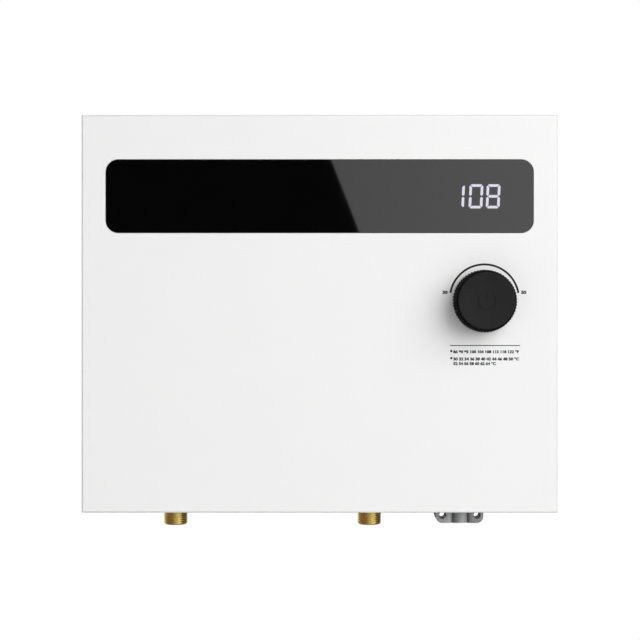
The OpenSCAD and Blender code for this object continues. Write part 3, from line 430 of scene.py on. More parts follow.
# %% Galvanised sheet
zinc = Finish("galvanised_sheet", Metallic=1)
spangle = zinc.crystals(9 * mm)
dust = zinc.grain(0.7 * mm, detail=4)
zinc.colour(0.75 * spangle + 0.25 * dust, (0.50, 0.51, 0.525), (0.68, 0.69, 0.70))
zinc.rough(0.3 + 0.16 * spangle + 0.08 * dust)
zinc.relief(dust, 0.01 * mm)
keep("zinc_sheet", zinc)

# %% Soften the cover and the chassis
edge_round = 0.25 * mm
finished(softened("front_cover", edge_round), "case", "white_coat", "front_cover")
finished(softened("rear_chassis", edge_round), "case", "zinc_sheet", "rear_chassis")

# %% [markdown]
# ## The display lens
# The lens is a polished black acrylic strip, flush with the front. Acrylic this dark shows almost no colour
# of its own, only what it mirrors, so its finish is a very low roughness with a faint haze from wiping.

# %% Black acrylic
acrylic = Finish("black_acrylic", IOR=1.49)
haze = acrylic.grain(45 * mm, detail=3)
acrylic.colour(haze, (0.0012, 0.0012, 0.0014), (0.0022, 0.0022, 0.0024))
acrylic.rough(0.015 + 0.02 * haze)
acrylic.relief(acrylic.grain(18 * mm), 0.002 * mm)
keep("black_lens", acrylic)

lens_round = 0.3 * mm
finished(softened("display_lens", lens_round), "case", "black_lens", "display_lens")

# %% [markdown]
# ## The lit digits
# Behind the lens sits a seven-segment display, and its lit segments show as crisp pale bars. Each figure
# could be drawn bar by bar. It is quicker to make it as a mask maker does: one plate in the shape of an 8,
# with two windows, and saw cuts on the slant between the bars. Each figure is then a copy with its dark bars
# deleted.

# %% Sizes of a figure
figure_h = 21.3 * mm
figure_w = 12.2 * mm
bar_w = 2.3 * mm
saw_cut = 0.48 * mm
corner_cut = 1.85 * mm
plate_t = 0.04 * mm
lean = math.tan(math.radians(2.8))
figure_z = 103.5 * mm
panel_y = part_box("front_cover")[0].y
lens_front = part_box("display_lens")[0].y


def block(name, size, middle, tilt=0.0):
    """A box of a size, turned about the Y axis, as a start for a plate or a cutter."""
    clear()
    bpy.ops.mesh.primitive_cube_add(size=1, location=middle, rotation=(0, tilt, 0))
    bpy.context.object.scale = size
    return started(name)


# %% Plate with two windows and chamfered corners
plate = block("figure_plate", (figure_w, plate_t, figure_h), (0, 0, 0))
pick(plate, "EDGE", lambda a, b: abs(a.y - b.y) > plate_t / 2)
bpy.ops.mesh.bevel(offset=corner_cut, segments=1, affect="EDGES")
window_h = (figure_h - 3 * bar_w) / 2
window_w = figure_w - 2 * bar_w
for side in (-1, 1):
    window = block("window", (window_w, 4 * plate_t, window_h), (0, 0, side * (window_h + bar_w) / 2))
    shape_with(plate, window, "DIFFERENCE")
print("plate has", len(plate.data.polygons), "faces")

# %% Saw cuts between the bars
for across in (-1, 1):
    for up in (-1, 1):
        corner = Vector((across * (figure_w - bar_w) / 2, 0, up * (figure_h - bar_w) / 2))
        saw = block("saw", (2 * bar_w, 4 * plate_t, saw_cut), corner, -across * up * math.pi / 4)
        shape_with(plate, saw, "DIFFERENCE")
    waist = Vector((across * (figure_w - bar_w) / 2, 0, 0))
    for tilt in (-1, 1):
        saw = block("saw", (1.5 * bar_w, 4 * plate_t, saw_cut), waist, tilt * math.pi / 4)
        shape_with(plate, saw, "DIFFERENCE")
    notch = block("notch", (bar_w / math.sqrt(2), 4 * plate_t, bar_w / math.sqrt(2)),
                  waist + Vector((across * bar_w / 2, 0, 0)), math.pi / 4)
    shape_with(plate, notch, "DIFFERENCE")
print("sawn plate has", len(plate.data.polygons), "faces")

# %% Lit segment finish
glow = Finish("lit_segment", Roughness=0.4, Emission_Strength=0.76)
bloom = glow.grain(1.4 * mm)
glow.colour(bloom, (0.03, 0.03, 0.035), (0.05, 0.05, 0.055))
lilac_white = (0.80, 0.76, 0.95, 1)
cool_white = (0.90, 0.87, 1.0, 1)
glow.feed(glow.shader.inputs["Emission Color"], glow.mix(bloom, lilac_white, cool_white))
print("lit segments glow at", glow.shader.inputs["Emission Strength"].default_value)

# %% Figures from copies of the plate
inside = figure_w / 2 - bar_w


def waist_bar(place):
    return abs(place.x) < inside and abs(place.z) < bar_w


def all_but_right(place):
    return place.x < inside - saw_cut


slanted = Matrix(((1, 0, lean, 0), (0, 1, 0, 0), (0, 0, 1, 0), (0, 0, 0, 1)))
figures = {"one": (121.5 * mm, all_but_right),
           "zero": (137.77 * mm, waist_bar),
           "eight": (152.91 * mm, None)}
for figure, (across, dark) in figures.items():
    digit = copied(plate, "digit_" + figure, (0, 0, 0))
    if dark:
        pick(digit, "FACE", lambda face: dark(face.center))
        bpy.ops.mesh.select_linked()
        bpy.ops.mesh.delete(type="FACE")
        work_on(digit)
    digit.data.transform(slanted)
    digit.location = (across, lens_front - plate_t / 2, figure_z)
    finished(started(digit.name), "case", "ivory_plastic", finish=glow.material)
bpy.data.objects.remove(plate)

# %% [markdown]
# ## The printed marks
# The panel carries a dial arc over the knob, a number at each end of it, a thin rule and a small table of
# temperatures, all in black ink. Ink could be painted by the panel's material, but a thin raised layer stays
# sharp at any distance and can be seen at a slant, as screen print can.

# %% Ink
ink = Finish("black_ink", Specular_IOR_Level=0.2)
speck = ink.grain(0.25 * mm, detail=3)
ink.colour(speck, (0.005, 0.005, 0.0055), (0.014, 0.014, 0.0145))
ink.rough(0.42 + 0.15 * speck)
ink.relief(speck, 0.004 * mm)
ink_t = 0.04 * mm
ink_y = panel_y - ink_t / 2


def inked(piece):
    finished(piece, "case", "knob_black", finish=ink.material)


# %% Dial arc
arc_middle = Vector((145.15 * mm, ink_y, 13.08 * mm))
arc_r = 30.4 * mm
arc_w = 1.8 * mm
arc_from = math.radians(10)
clear()
bpy.ops.mesh.primitive_plane_add(
    size=1, location=arc_middle + arc_r * Vector((math.cos(arc_from), 0, math.sin(arc_from))),
    rotation=(0, -arc_from, 0))
bpy.context.object.scale = (arc_w, ink_t, 1)
arc = started("dial_arc")
pick(arc, "FACE", everything)
bpy.ops.mesh.spin(steps=72, angle=math.pi - 2 * arc_from, center=arc_middle, axis=(0, 1, 0))
clean(arc)
inked(arc)

# %% Rule and bullets
rule_w = 61.45 * mm
rule_t = 0.74 * mm
rule_at = (145.6 * mm, ink_y, -27.97 * mm)
dot_r = 1.05 * mm
dot_x = 116.0 * mm
dot_heights = (-32.9 * mm, -39.15 * mm)
inked(block("legend_rule", (rule_w, ink_t, rule_t), rule_at))
for row, height in enumerate(dot_heights, 1):
    clear()
    bpy.ops.mesh.primitive_cylinder_add(vertices=24, radius=dot_r, depth=ink_t,
                                        location=(dot_x, ink_y, height), rotation=(math.pi / 2, 0, 0))
    inked(started("legend_dot_%d" % row))

# %% Small numbers
boldness = 0.06
dial_h = 3.1 * mm
dial_z = 17.6 * mm
row_h = 2.9 * mm
row_left = 117.8 * mm
row_right = 175.7 * mm


def printed(name, words, height, left, right, base):
    """Set a line of numbers on the panel, of a height, from left to right."""
    clear()
    bpy.ops.object.text_add(rotation=(math.pi / 2, 0, 0))
    line = bpy.context.object
    line.data.body = words
    line.data.resolution_u = 3
    line.data.extrude = ink_t / 2
    line.data.offset = boldness
    work_on(line)
    bpy.ops.object.convert(target="MESH")
    line = bpy.context.object
    line.scale = ((right - left) / line.dimensions.x, height / line.dimensions.y, 1)
    bpy.context.view_layer.update()
    line.location = (left, ink_y, base)
    inked(started(name))


printed("dial_low", "30", dial_h, 108.2 * mm, 112.8 * mm, dial_z)
printed("dial_high", "50", dial_h, 177.6 * mm, 182.2 * mm, dial_z)
printed("legend_row_1", "86 90 95 100 104 108 113 118 122 °F", row_h, row_left, row_right, -34.65 * mm)
printed("legend_row_2", "30 32 34 36 38 40 42 44 46 48 50 °C", row_h, row_left, row_right, -41.0 * mm)
printed("legend_row_3", "52 54 56 58 60 62 64 °C", row_h, row_left, 155.4 * mm, -45.1 * mm)

# %% [markdown]
# ## The knob
# The knob is moulded in matt black with fine ribs, and a dished cap with a rounded edge closes its front.
# The ribs start as a ring of points, every second pair pulled in, that is extruded to the knob's height and
# narrowed towards the front, as moulding draft asks. A small bevel rounds the tips of the ribs. The cap's
# rounded edge is painted a deeper black, as shade, and the ribs' outer part is a quarter darker than the
# face.

# %% Moulded black
knob_x, _, knob_z = joints["knob_turn"]["pos_m"]
cap_low, cap_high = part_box("knob_cap")
cap_r = (cap_high.x - cap_low.x) / 2
cap_edge = 1.8 * mm
edge_fade = 0.6 * mm
tips_from = 0.9 * mm
tips_fade = 0.4 * mm
moulded = Finish("moulded_black", IOR=1.5, Specular_IOR_Level=0.05)
x, _, z = moulded.along()
from_axis = (((x - knob_x) ** 2) + ((z - knob_z) ** 2)) ** 0.5
on_flank = ((from_axis - cap_r + edge_fade) / edge_fade).within()
on_tips = ((from_axis - cap_r - tips_from) / tips_fade).within()
# Painted shade: the cap's rounded edge is made a deeper black all round.
painted_shade_edge = ((from_axis - cap_r + cap_edge) / edge_fade).within() - on_tips
spark = moulded.grain(0.35 * mm, detail=4)
tone_with_painted_shade = (0.85 + 0.15 * moulded.grain(12 * mm)) * (1 - painted_shade_edge) * (1 - 0.25 * on_tips)
moulded.colour(tone_with_painted_shade, (0.003, 0.003, 0.0031), (0.0185, 0.0185, 0.019))
moulded.rough(0.25 + 0.12 * spark + 0.43 * on_flank)
moulded.relief(spark, 0.012 * mm)
keep("knob_black", moulded)

# %% Ribbed grip
grip_low, grip_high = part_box("knob_grip")
knob_back = Vector((knob_x, grip_high.y, knob_z))
knob_front = Vector((knob_x, grip_low.y, knob_z))
grip_r = (grip_high.x - grip_low.x) / 2
rib_count = 62
rib_depth = 0.75 * mm
rib_round = 0.12 * mm
draft = 1.0 * mm
clear()
bpy.ops.mesh.primitive_circle_add(vertices=4 * rib_count, radius=grip_r, fill_type="NGON",
                                  location=knob_back, rotation=(math.pi / 2, 0, 0))
grip = started("knob_ribbed_grip")
pick(grip, "VERT", lambda point: point.index % 4 > 1)
pull = (grip_r - rib_depth) / grip_r
bpy.ops.transform.resize(value=(pull, 1, pull), center_override=knob_back)
bpy.ops.mesh.select_all(action="SELECT")
bpy.ops.mesh.extrude_region_move(TRANSFORM_OT_translate={"value": knob_front - knob_back})
narrow = (grip_r - draft) / grip_r
bpy.ops.transform.resize(value=(narrow, 1, narrow), center_override=knob_front)
clean(grip)
modify(grip, "BEVEL", width=rib_round, segments=2, limit_method="ANGLE", angle_limit=math.radians(35))

# %% Bore of the grip
core_low, core_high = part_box("knob_core")
slide_fit = 0.05 * mm
bore_r = (core_high.x - core_low.x) / 2 + slide_fit
bore_l = 0.06
clear()
bpy.ops.mesh.primitive_cylinder_add(vertices=128, radius=bore_r, depth=bore_l, location=knob_back,
                                    rotation=(math.pi / 2, 0, 0))
shape_with(grip, started("grip_bore"), "DIFFERENCE")
finished(grip, "knob", "knob_black", "knob_grip")

# %% Cap with a rounded edge
cap_back = Vector((knob_x, cap_high.y, knob_z))
cap_front = Vector((knob_x, cap_low.y, knob_z))
clear()
bpy.ops.mesh.primitive_circle_add(vertices=160, radius=cap_r, fill_type="NGON", location=cap_back,
                                  rotation=(math.pi / 2, 0, 0))
cap = started("knob_round_cap")
pick(cap, "FACE", everything)
bpy.ops.mesh.extrude_region_move(TRANSFORM_OT_translate={"value": cap_front - cap_back})
clean(cap)
pick(cap, "EDGE", lambda a, b: max(abs(a.y - cap_front.y), abs(b.y - cap_front.y)) < 0.01 * mm)
bpy.ops.mesh.bevel(offset=cap_edge, segments=8, affect="EDGES")
print("cap has", len(cap.data.polygons), "faces")

# %% Dish of the cap, for a finger tip
cap_rim = 0.4 * mm
dish_r = cap_r - cap_edge - cap_rim
dish_deep = 1.0 * mm
bowl_steps = 12
shares = [step / bowl_steps for step in range(bowl_steps + 1)]
bowl = [(dish_r * share, dish_deep * (1 - share ** 2)) for share in shares]
dish = turned("dish", [*bowl, (dish_r, -mm), (0, -mm)], 160)
dish.rotation_euler = (-math.pi / 2, 0, 0)
dish.location = cap_front
work_on(dish)
bpy.ops.object.transform_apply(location=True, rotation=True)
shape_with(cap, dish, "DIFFERENCE")
print("dished cap has", len(cap.data.polygons), "faces")

# %% [markdown]
# The cap's face has the usual on and off sign sunk into it: a ring that is open at the top, with a bar in
# the opening. The ring's cutter is a small rectangle spun round the knob's axis.

# %% On and off sign
sign_r = 7.6 * mm
sign_w = 0.9 * mm
sign_deep = 0.3 * mm
sign_gap = math.radians(70)
bar_l = sign_r + 1 * mm
ring_from = math.pi / 2 + sign_gap / 2
clear()
bpy.ops.mesh.primitive_plane_add(
    size=1, location=cap_front + sign_r * Vector((math.cos(ring_from), 0, math.sin(ring_from))),
    rotation=(0, -ring_from, 0))
bpy.context.object.scale = (sign_w, 2 * (dish_deep + sign_deep), 1)
ring_cutter = started("ring_cutter")
pick(ring_cutter, "FACE", everything)
bpy.ops.mesh.spin(steps=72, angle=2 * math.pi - sign_gap, center=cap_front, axis=(0, 1, 0))
clean(ring_cutter)
shape_with(cap, ring_cutter, "DIFFERENCE")
bar_cutter = block("bar_cutter", (sign_w, 2 * (dish_deep + sign_deep), bar_l),
                   cap_front + Vector((0, 0, bar_l / 2)))
shape_with(cap, bar_cutter, "DIFFERENCE")
finished(cap, "knob", "knob_black", "knob_cap")

# %% [markdown]
# ## The water fittings
# Each fitting is turned from brass bar: a pipe thread with a chamfered end, a neck that passes the shelf, a
# hexagon that rests on it, and a smooth spigot above. Stacked rings would look like a thread from the front
# but not from below, so one tooth is swept up a helix. One fitting is modelled on the Z axis and copied.

# %% Brass
brass = Finish("turned_brass", Metallic=1)
x, y, _ = brass.along()
ports = [mounts[name]["pos_m"] for name in ("outlet_thread", "inlet_thread")]
outlet_r, inlet_r = [(((x - port[0]) ** 2) + ((y - port[1]) ** 2)) ** 0.5 for port in ports]
crest_r = mounts["outlet_thread"]["dims"]["r_mm"] * mm
thread_deep = 0.9 * mm
worn = 0.15 * mm
root_r = crest_r - thread_deep
valley = ((crest_r - worn - outlet_r.least(inlet_r)) / thread_deep).within()
lathe_lines = brass.grain(0.22 * mm, detail=2, stretch=(40, 40, 1))
stain = brass.grain(6 * mm, detail=3)
tone = (0.75 * valley + 0.35 * stain).within()
brass.colour(tone, (0.64, 0.51, 0.178), (0.49, 0.345, 0.092))
brass.rough(0.24 + 0.1 * lathe_lines + 0.12 * valley)
brass.relief(lathe_lines, 0.004 * mm)
keep("brass_plain", brass)

# %% Thread with a chamfered end
pitch = 1.814 * mm
tip_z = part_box("outlet_fitting")[0].z
top_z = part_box("outlet_fitting")[1].z
nut_low, nut_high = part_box("fitting_locknuts")
chamfer = 1.3 * mm
spare = 0.2 * mm
fitting = threaded("outlet_pipe_fitting", crest_r, root_r, pitch, tip_z, nut_low.z)
envelope = turned("envelope", [(0, tip_z - mm), (crest_r - chamfer - mm, tip_z - mm),
                               (crest_r + spare, tip_z + chamfer + spare),
                               (crest_r + spare, nut_low.z + mm), (0, nut_low.z + mm)])
shape_with(fitting, envelope, "INTERSECT")
print("thread has", len(fitting.data.polygons), "faces")

# %% Neck, hexagon, spigot and bore
neck_r = crest_r - 0.4 * mm
spigot_r = 8.9 * mm
shelf_z = -172.7 * mm
collar_h = 6 * mm
collar_af = 27 * mm
rim_cut = 0.5 * mm
upper = turned("upper", [(0, nut_low.z - spare), (root_r - 0.3 * mm, nut_low.z - spare),
                         (neck_r, nut_low.z), (neck_r, shelf_z + mm), (spigot_r, shelf_z + mm),
                         (spigot_r, top_z - rim_cut), (spigot_r - rim_cut, top_z), (0, top_z)])
shape_with(fitting, upper, "UNION")
clear()
bpy.ops.mesh.primitive_cylinder_add(vertices=6, radius=collar_af / math.sqrt(3), depth=collar_h,
                                    location=(0, 0, shelf_z + collar_h / 2))
shape_with(fitting, started("collar"), "UNION")
water_r = mounts["outlet_waterway"]["dims"]["r_mm"] * mm
throat_z = -176 * mm
seat_r = water_r + 0.3 * mm
mouth_cut = 0.4 * mm
bore = turned("bore", [(0, tip_z - mm), (water_r + mouth_cut + mm, tip_z - mm), (water_r, tip_z + mouth_cut),
                       (water_r, throat_z), (seat_r, throat_z), (seat_r, top_z + mm), (0, top_z + mm)])
shape_with(fitting, bore, "DIFFERENCE")

# %% Place both fittings
outlet_at, inlet_at = [Vector((port[0], port[1], 0)) for port in ports]
inlet_fitting = copied(fitting, "inlet_pipe_fitting", inlet_at)
fitting.location = outlet_at
work_on(fitting)
bpy.ops.object.transform_apply(location=True)
finished(fitting, "case", "brass_plain", "outlet_fitting")
finished(inlet_fitting, "case", "brass_plain", "inlet_fitting")

# %% [markdown]
# A hexagon locknut draws each fitting down on the shelf from below. A real nut's corners are chamfered in a
# cone, so a plain hexagon is trimmed by a turned disc with bevelled rims, and then bored.

# %% Locknuts
nut_af = 30 * mm
nut_r = nut_af / math.sqrt(3)
nut_bevel = 0.9 * mm
nut_round = 0.15 * mm
nut_bore_l = 20 * mm
clear()
bpy.ops.mesh.primitive_cylinder_add(vertices=6, radius=nut_r, depth=nut_high.z - nut_low.z,
                                    location=(0, 0, (nut_low.z + nut_high.z) / 2))
locknut = started("outlet_locknut")
rim_r = nut_r - 2 * nut_bevel
disc = turned("disc", [(0, nut_low.z), (rim_r, nut_low.z), (nut_r, nut_low.z + nut_bevel),
                       (nut_r, nut_high.z - nut_bevel), (rim_r, nut_high.z), (0, nut_high.z)], 96)
shape_with(locknut, disc, "INTERSECT")
clear()
bpy.ops.mesh.primitive_cylinder_add(vertices=64, radius=neck_r + slide_fit, depth=nut_bore_l,
                                    location=(0, 0, nut_low.z))
shape_with(locknut, started("nut_bore"), "DIFFERENCE")
modify(locknut, "BEVEL", width=nut_round, segments=2, limit_method="ANGLE", angle_limit=sharp)
inlet_locknut = copied(locknut, "inlet_locknut", inlet_at)
locknut.location = outlet_at
work_on(locknut)
bpy.ops.object.transform_apply(location=True)
finished(locknut, "case", "brass_plain", "fitting_locknuts")
finished(inlet_locknut, "case", "brass_plain", "fitting_locknuts")

# %% [markdown]
# ## The cable clamp
# The clamp is a zinc die casting: a round throat with two ears, each with an open screw hole. Its solid has
# the whole form, so a softened copy is enough, with the rounded edges and the grainy skin of a casting.

# %% Cast zinc
cast = Finish("cast_zinc", Metallic=0.9)
skin = cast.grain(0.8 * mm, detail=4)
tumbled = cast.grain(5 * mm, detail=2)
cast.colour(0.6 * tumbled + 0.4 * skin, (0.205, 0.207, 0.21), (0.30, 0.302, 0.305))
cast.rough(0.38 + 0.15 * skin)
cast.relief(skin, 0.03 * mm)
keep("zinc_cast", cast)

cast_round = 0.3 * mm
finished(softened("cable_clamp", cast_round), "case", "zinc_cast", "cable_clamp")

# %% [markdown]
# ## The cover screws
# Four pan head screws hold the cover to the chassis, two on top and two below. One is modelled upright: a
# disc with a deep bevel for the head, a tapered cross sunk into it, and a threaded shank. The others are
# copies, and the lower ones are turned over.

# %% Plated steel
plated = Finish("zinc_plated_steel", Metallic=1)
scuff = plated.grain(0.5 * mm, detail=3)
plated.colour(plated.grain(3 * mm), (0.60, 0.60, 0.61), (0.74, 0.74, 0.75))
plated.rough(0.22 + 0.16 * scuff)
plated.relief(scuff, 0.005 * mm)
keep("bright_steel", plated)

# %% Screw head with a cross recess
screw_low, screw_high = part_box("cover_screws")
head_h = 2.4 * mm
head_r = 3.8 * mm
head_bevel = 1.5 * mm
cross_size = (4.4 * mm, 0.9 * mm, 2.6 * mm)
cross_taper = 0.45
case_top = screw_high.z - head_h
head_at = Vector((screw_high.x - head_r, (screw_low.y + screw_high.y) / 2, case_top))
clear()
bpy.ops.mesh.primitive_circle_add(vertices=48, radius=head_r, fill_type="NGON")
screw = started("cover_screw_1")
pick(screw, "FACE", everything)
bpy.ops.mesh.extrude_region_move(TRANSFORM_OT_translate={"value": (0, 0, head_h)})
clean(screw)
pick(screw, "EDGE", lambda a, b: min(a.z, b.z) > head_h - 0.01 * mm)
bpy.ops.mesh.bevel(offset=head_bevel, segments=6, affect="EDGES")
work_on(screw)
for turn in (0, math.pi / 2):
    clear()
    bpy.ops.mesh.primitive_cube_add(size=1, location=(0, 0, head_h), rotation=(0, 0, turn))
    bpy.context.object.scale = cross_size
    wing = started("wing")
    pick(wing, "VERT", lambda point: point.co.z < head_h)
    bpy.ops.transform.resize(value=(cross_taper, cross_taper, 1), center_override=(0, 0, head_h))
    shape_with(screw, wing, "DIFFERENCE")

# %% Shank, and the other three screws
shank_r = 1.97 * mm
shank_root_r = 1.6 * mm
shank_pitch = 0.7 * mm
shank_low = -9 * mm
point_z = -10 * mm
point_r = 0.3 * mm
shoulder_r = 2.1 * mm
shoulder_z = -8.2 * mm
shank = threaded("shank", shank_r, shank_root_r, shank_pitch, shank_low, 0.1 * mm, 32)
tip = turned("tip", [(0, point_z), (point_r, point_z), (shoulder_r, shoulder_z),
                     (shoulder_r, mm), (0, mm)], 32)
shape_with(shank, tip, "INTERSECT")
shape_with(screw, shank, "UNION")
corners = [(1, 1), (-1, 1), (1, -1), (-1, -1)]
for number, (across, up) in enumerate(corners, 1):
    work_on(screw)
    bpy.ops.object.duplicate()
    twin = bpy.context.object
    twin.rotation_euler = (0, 0 if up > 0 else math.pi, 0)
    twin.location = (across * head_at.x, head_at.y, up * head_at.z)
    finished(started("cover_pan_screw_%d" % number), "case", "bright_steel", "cover_screws")
bpy.data.objects.remove(screw)

# %% [markdown]
# ## What is inside
# The exchanger, the boards and the wiring sit behind the cover. Their solids have the right shapes, so they
# stay, and each gets the finish of its own stuff: drawn steel, rubber, moulded plastics, copper-clad board.

# %% Drawn stainless steel
drawn = Finish("drawn_stainless", Metallic=1)
draw_lines = drawn.grain(0.3 * mm, detail=3, stretch=(1, 1, 60))
drawn.colour(drawn.grain(14 * mm), (0.52, 0.51, 0.50), (0.64, 0.63, 0.62))
drawn.rough(0.2 + 0.2 * draw_lines)
drawn.relief(draw_lines, 0.006 * mm)
keep("stainless", drawn)

# %% Rubber and leads
rubber = Finish("moulded_rubber")
bloomed = rubber.grain(0.6 * mm, detail=3)
rubber.colour(rubber.grain(7 * mm), (0.025, 0.025, 0.026), (0.05, 0.05, 0.05))
rubber.rough(0.6 + 0.25 * bloomed)
rubber.relief(bloomed, 0.02 * mm)
keep("seal_rubber", rubber)

sleeve = Finish("silicone_sleeve")
dusty = sleeve.grain(1.2 * mm, detail=3)
sleeve.colour(dusty, (0.30, 0.022, 0.02), (0.40, 0.05, 0.045))
sleeve.rough(0.4 + 0.2 * dusty)
sleeve.relief(dusty, 0.015 * mm)
keep("lead_cover", sleeve)

ribbon = Finish("vinyl_ribbon")
strand = (ribbon.along()[0] * (2 * math.pi / (1.27 * mm))).wave() * 0.5 + 0.5
ribbon.colour(strand, (0.40, 0.40, 0.41), (0.55, 0.55, 0.56))
ribbon.rough(0.4 + 0.1 * strand)
ribbon.relief(strand, 0.1 * mm)
keep("ribbon_grey", ribbon)

# %% Moulded plastics
def plastic(name, slot, dark, light, grain_size, smooth):
    """A moulded plastic: a slight drift of colour, and the fine grain of its mould."""
    made = Finish(name)
    texture = made.grain(grain_size, detail=3)
    made.colour(made.grain(20 * grain_size), dark, light)
    made.rough(smooth + 0.16 * texture)
    made.relief(texture, grain_size / 40)
    keep(slot, made)


plastic("black_phenolic", "dark_plastic", (0.04, 0.04, 0.043), (0.07, 0.07, 0.075), 0.4 * mm, 0.42)
plastic("ivory_nylon", "ivory_plastic", (0.78, 0.76, 0.69), (0.85, 0.83, 0.77), 0.5 * mm, 0.4)
plastic("glass_filled_nylon", "filled_nylon", (0.085, 0.09, 0.09), (0.13, 0.14, 0.14), 0.9 * mm, 0.5)
plastic("relay_case", "relay_blue", (0.04, 0.15, 0.44), (0.06, 0.2, 0.54), 0.5 * mm, 0.22)
plastic("brown_phenolic", "cutout_brown", (0.18, 0.09, 0.05), (0.26, 0.13, 0.075), 0.5 * mm, 0.4)
plastic("red_button", "button_red", (0.52, 0.025, 0.025), (0.64, 0.04, 0.04), 0.4 * mm, 0.35)

# %% Boards and heat sink
board = Finish("solder_mask")
track = board.grain(1.6 * mm, detail=0, stretch=(1, 1, 6)) > 0.52
board.colour(track, (0.018, 0.13, 0.055), (0.03, 0.21, 0.09))
board.rough(0.3 + 0.1 * board.grain(0.4 * mm))
board.relief(track, 0.03 * mm)
keep("board_green", board)

extruded = Finish("extruded_aluminium", Metallic=1)
die_lines = extruded.grain(0.25 * mm, detail=3, stretch=(1, 1, 80))
extruded.colour(extruded.grain(10 * mm), (0.70, 0.71, 0.72), (0.79, 0.80, 0.81))
extruded.rough(0.26 + 0.18 * die_lines)
extruded.relief(die_lines, 0.008 * mm)
keep("sink_aluminium", extruded)

# %% Give every solid its slot's finish
for subpart in frame["record"]["subparts"]:
    solid = nodes[subpart["node"]]
    solid.data.materials.clear()
    solid.data.materials.append(finishes[subpart["material_slot"]])

# %% [markdown]
# ## Floor, light and background
# The photograph shows the heater on pure white, lit softly from the upper right. The floor is far enough
# below to stay out of that view, and it fades to white with distance. The world is white to the camera and
# in reflections, and dimmer as a fill light, so that the large key lamp gives the shadows their side.

# %% Floor
floor_r = 4
floor_z = -0.45
white_from = 0.45
white_over = 0.3
clear()
bpy.ops.mesh.primitive_circle_add(vertices=96, radius=floor_r, fill_type="NGON", location=(0, 0, floor_z))
floor = started("studio_floor")
floor_web = Finish("studio_floor_white", Roughness=0.9)
floor_web.colour(floor_web.grain(0.02), (0.80, 0.80, 0.80), (0.82, 0.82, 0.82))
x, y, _ = floor_web.along()
far = (((x ** 2 + y ** 2) ** 0.5 - white_from) / white_over).within()


def seen(web):
    """1 for a ray from the camera, or one that a shiny or clear surface sends on."""
    path = web.node("LightPath")
    kinds = ("Is Camera Ray", "Is Glossy Ray", "Is Transmission Ray")
    straight, mirrored, passed = [Value(web, path.outputs[kind]) for kind in kinds]
    return (straight + mirrored + passed).least(1)


white = floor_web.node("Emission", None, {"Color": (1, 1, 1, 1), "Strength": 1})
fade = floor_web.node("MixShader", None, {0: far * seen(floor_web), 1: floor_web.shader.outputs[0],
                                          2: white.outputs[0]})
floor_web.feed(floor_web.tree.nodes["Material Output"].inputs["Surface"], fade.outputs[0])
floor.data.materials.append(floor_web.material)

# %% World
fill = 0.30
world = bpy.data.worlds.new("white_studio")
world.use_nodes = True
bpy.context.scene.world = world
sky = Web(world.node_tree)
background = sky.tree.nodes["Background"]
background.inputs["Color"].default_value = (1, 1, 1, 1)
sky.feed(background.inputs["Strength"], fill + (1 - fill) * seen(sky))

# %% Key lamp
key_from = Vector((8.4, -9.3, 5.7))
clear()
bpy.ops.object.light_add(type="AREA", location=key_from,
                         rotation=key_from.to_track_quat("Z", "Y").to_euler())
key = bpy.context.object
key.name = "key_lamp"
key.data.shape = "DISK"
key.data.size = 15.5
key.data.energy = 2060

# %% [markdown]
# Polished and bare metal show what stands around them. Flat cards that only reflections can see give the
# lens its slanted grey sheen, as a photographer's cards do. Wide cards beside and below the heater, and a
# small one behind the clamp, give the clamp its light and dark sides. A small warm and a small dark card at
# each fitting give the brass its bands.

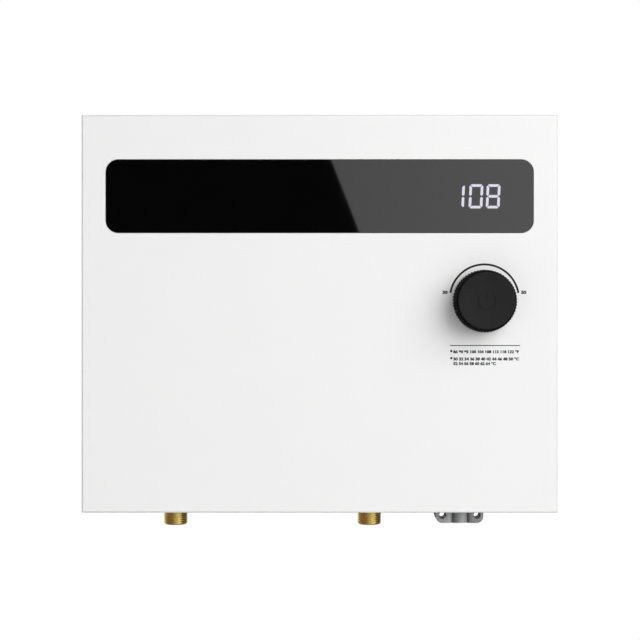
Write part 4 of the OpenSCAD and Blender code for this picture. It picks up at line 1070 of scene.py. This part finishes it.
# %% Cards that show in reflections
def card(name, corners, near, far, tint=(1, 1, 1)):
    """A flat card through four corners, seen by glossy rays alone, lit in a tint from left to right."""
    clear()
    bpy.ops.mesh.primitive_plane_add(size=1)
    sheet = started(name)
    for vertex, corner in zip(sheet.data.vertices, corners):
        vertex.co = corner
    sheet.visible_camera = False
    sheet.visible_diffuse = False
    sheet.visible_transmission = False
    sheet.visible_volume_scatter = False
    sheet.visible_shadow = False
    web = Finish(name + "_light")
    across = (web.along()[0] - corners[0].x) / (corners[1].x - corners[0].x)
    light = web.node("Emission", None, {"Color": (*tint, 1), "Strength": near + (far - near) * across})
    web.feed(web.tree.nodes["Material Output"].inputs["Surface"], light.outputs[0])
    sheet.data.materials.append(web.material)


card_y = -1.56
sheen_from = 1.85
sheen_to = 3.1
card_low = 0.0
card_high = 0.5
slant_low = Vector((0.069, card_y, 0.153))
slant_high = Vector((0.025, card_y, 0.267))
slant = (slant_high - slant_low) / (slant_high.z - slant_low.z)
edge_low = slant_low + slant * (card_low - slant_low.z)
edge_high = slant_low + slant * (card_high - slant_low.z)
right = Vector((1.0, 0, 0))
card("bright_card", [edge_low, edge_low + right, edge_high, edge_high + right], sheen_from, sheen_to)
left = Vector((-1.6, 0, 0))
card("dark_card", [edge_low + left, edge_low, edge_high + left, edge_high], 0.0, 0.0)


def side_card(name, start, end, low, high, near=0.0, far=0.0, tint=(1, 1, 1)):
    """An upright card between two places on the floor plan, dark unless it glows."""
    feet = [Vector((*place, low)) for place in (start, end)]
    tops = [Vector((*place, high)) for place in (start, end)]
    card(name, [*feet, *tops], near, far, tint)


low_z = -0.44
side_card("left_card", (-1.4, -0.04), (-0.617, -1.247), low_z, 1.5, 0.22, 0.22)
side_card("right_card", (0.81, -1.03), (1.33, -0.04), low_z, -0.1, 1.35, 1.35)
side_card("back_card", (0.094, 0.03), (0.186, 0.03), -0.255, -0.18)
warm = (1, 0.73, 0.65)
below_tips = -0.2
above_necks = -0.17
for port, name in zip(ports, ("outlet", "inlet")):
    beside = port[0] + 0.04
    side_card(name + "_card", (beside, -0.067), (beside + 0.001, 0.06),
              below_tips, above_necks, 0.13, 0.13)
    side_card(name + "_warm_card", (port[0] - 0.05, port[1]), (port[0] - 0.016, port[1] - 0.05),
              below_tips, above_necks, 0.36, 0.5, warm)
card("floor_card", [Vector((-1.4, -1.25, low_z)), Vector((-0.15, -1.25, low_z)),
                    Vector((-1.4, -0.05, low_z)), Vector((-0.15, -0.05, low_z))], 0.0, 0.0)

# %% [markdown]
# ## The view transform
# Colours are shown through Blender's Standard view transform.

# %% Set the view transform
bpy.context.scene.view_settings.view_transform = "Standard"
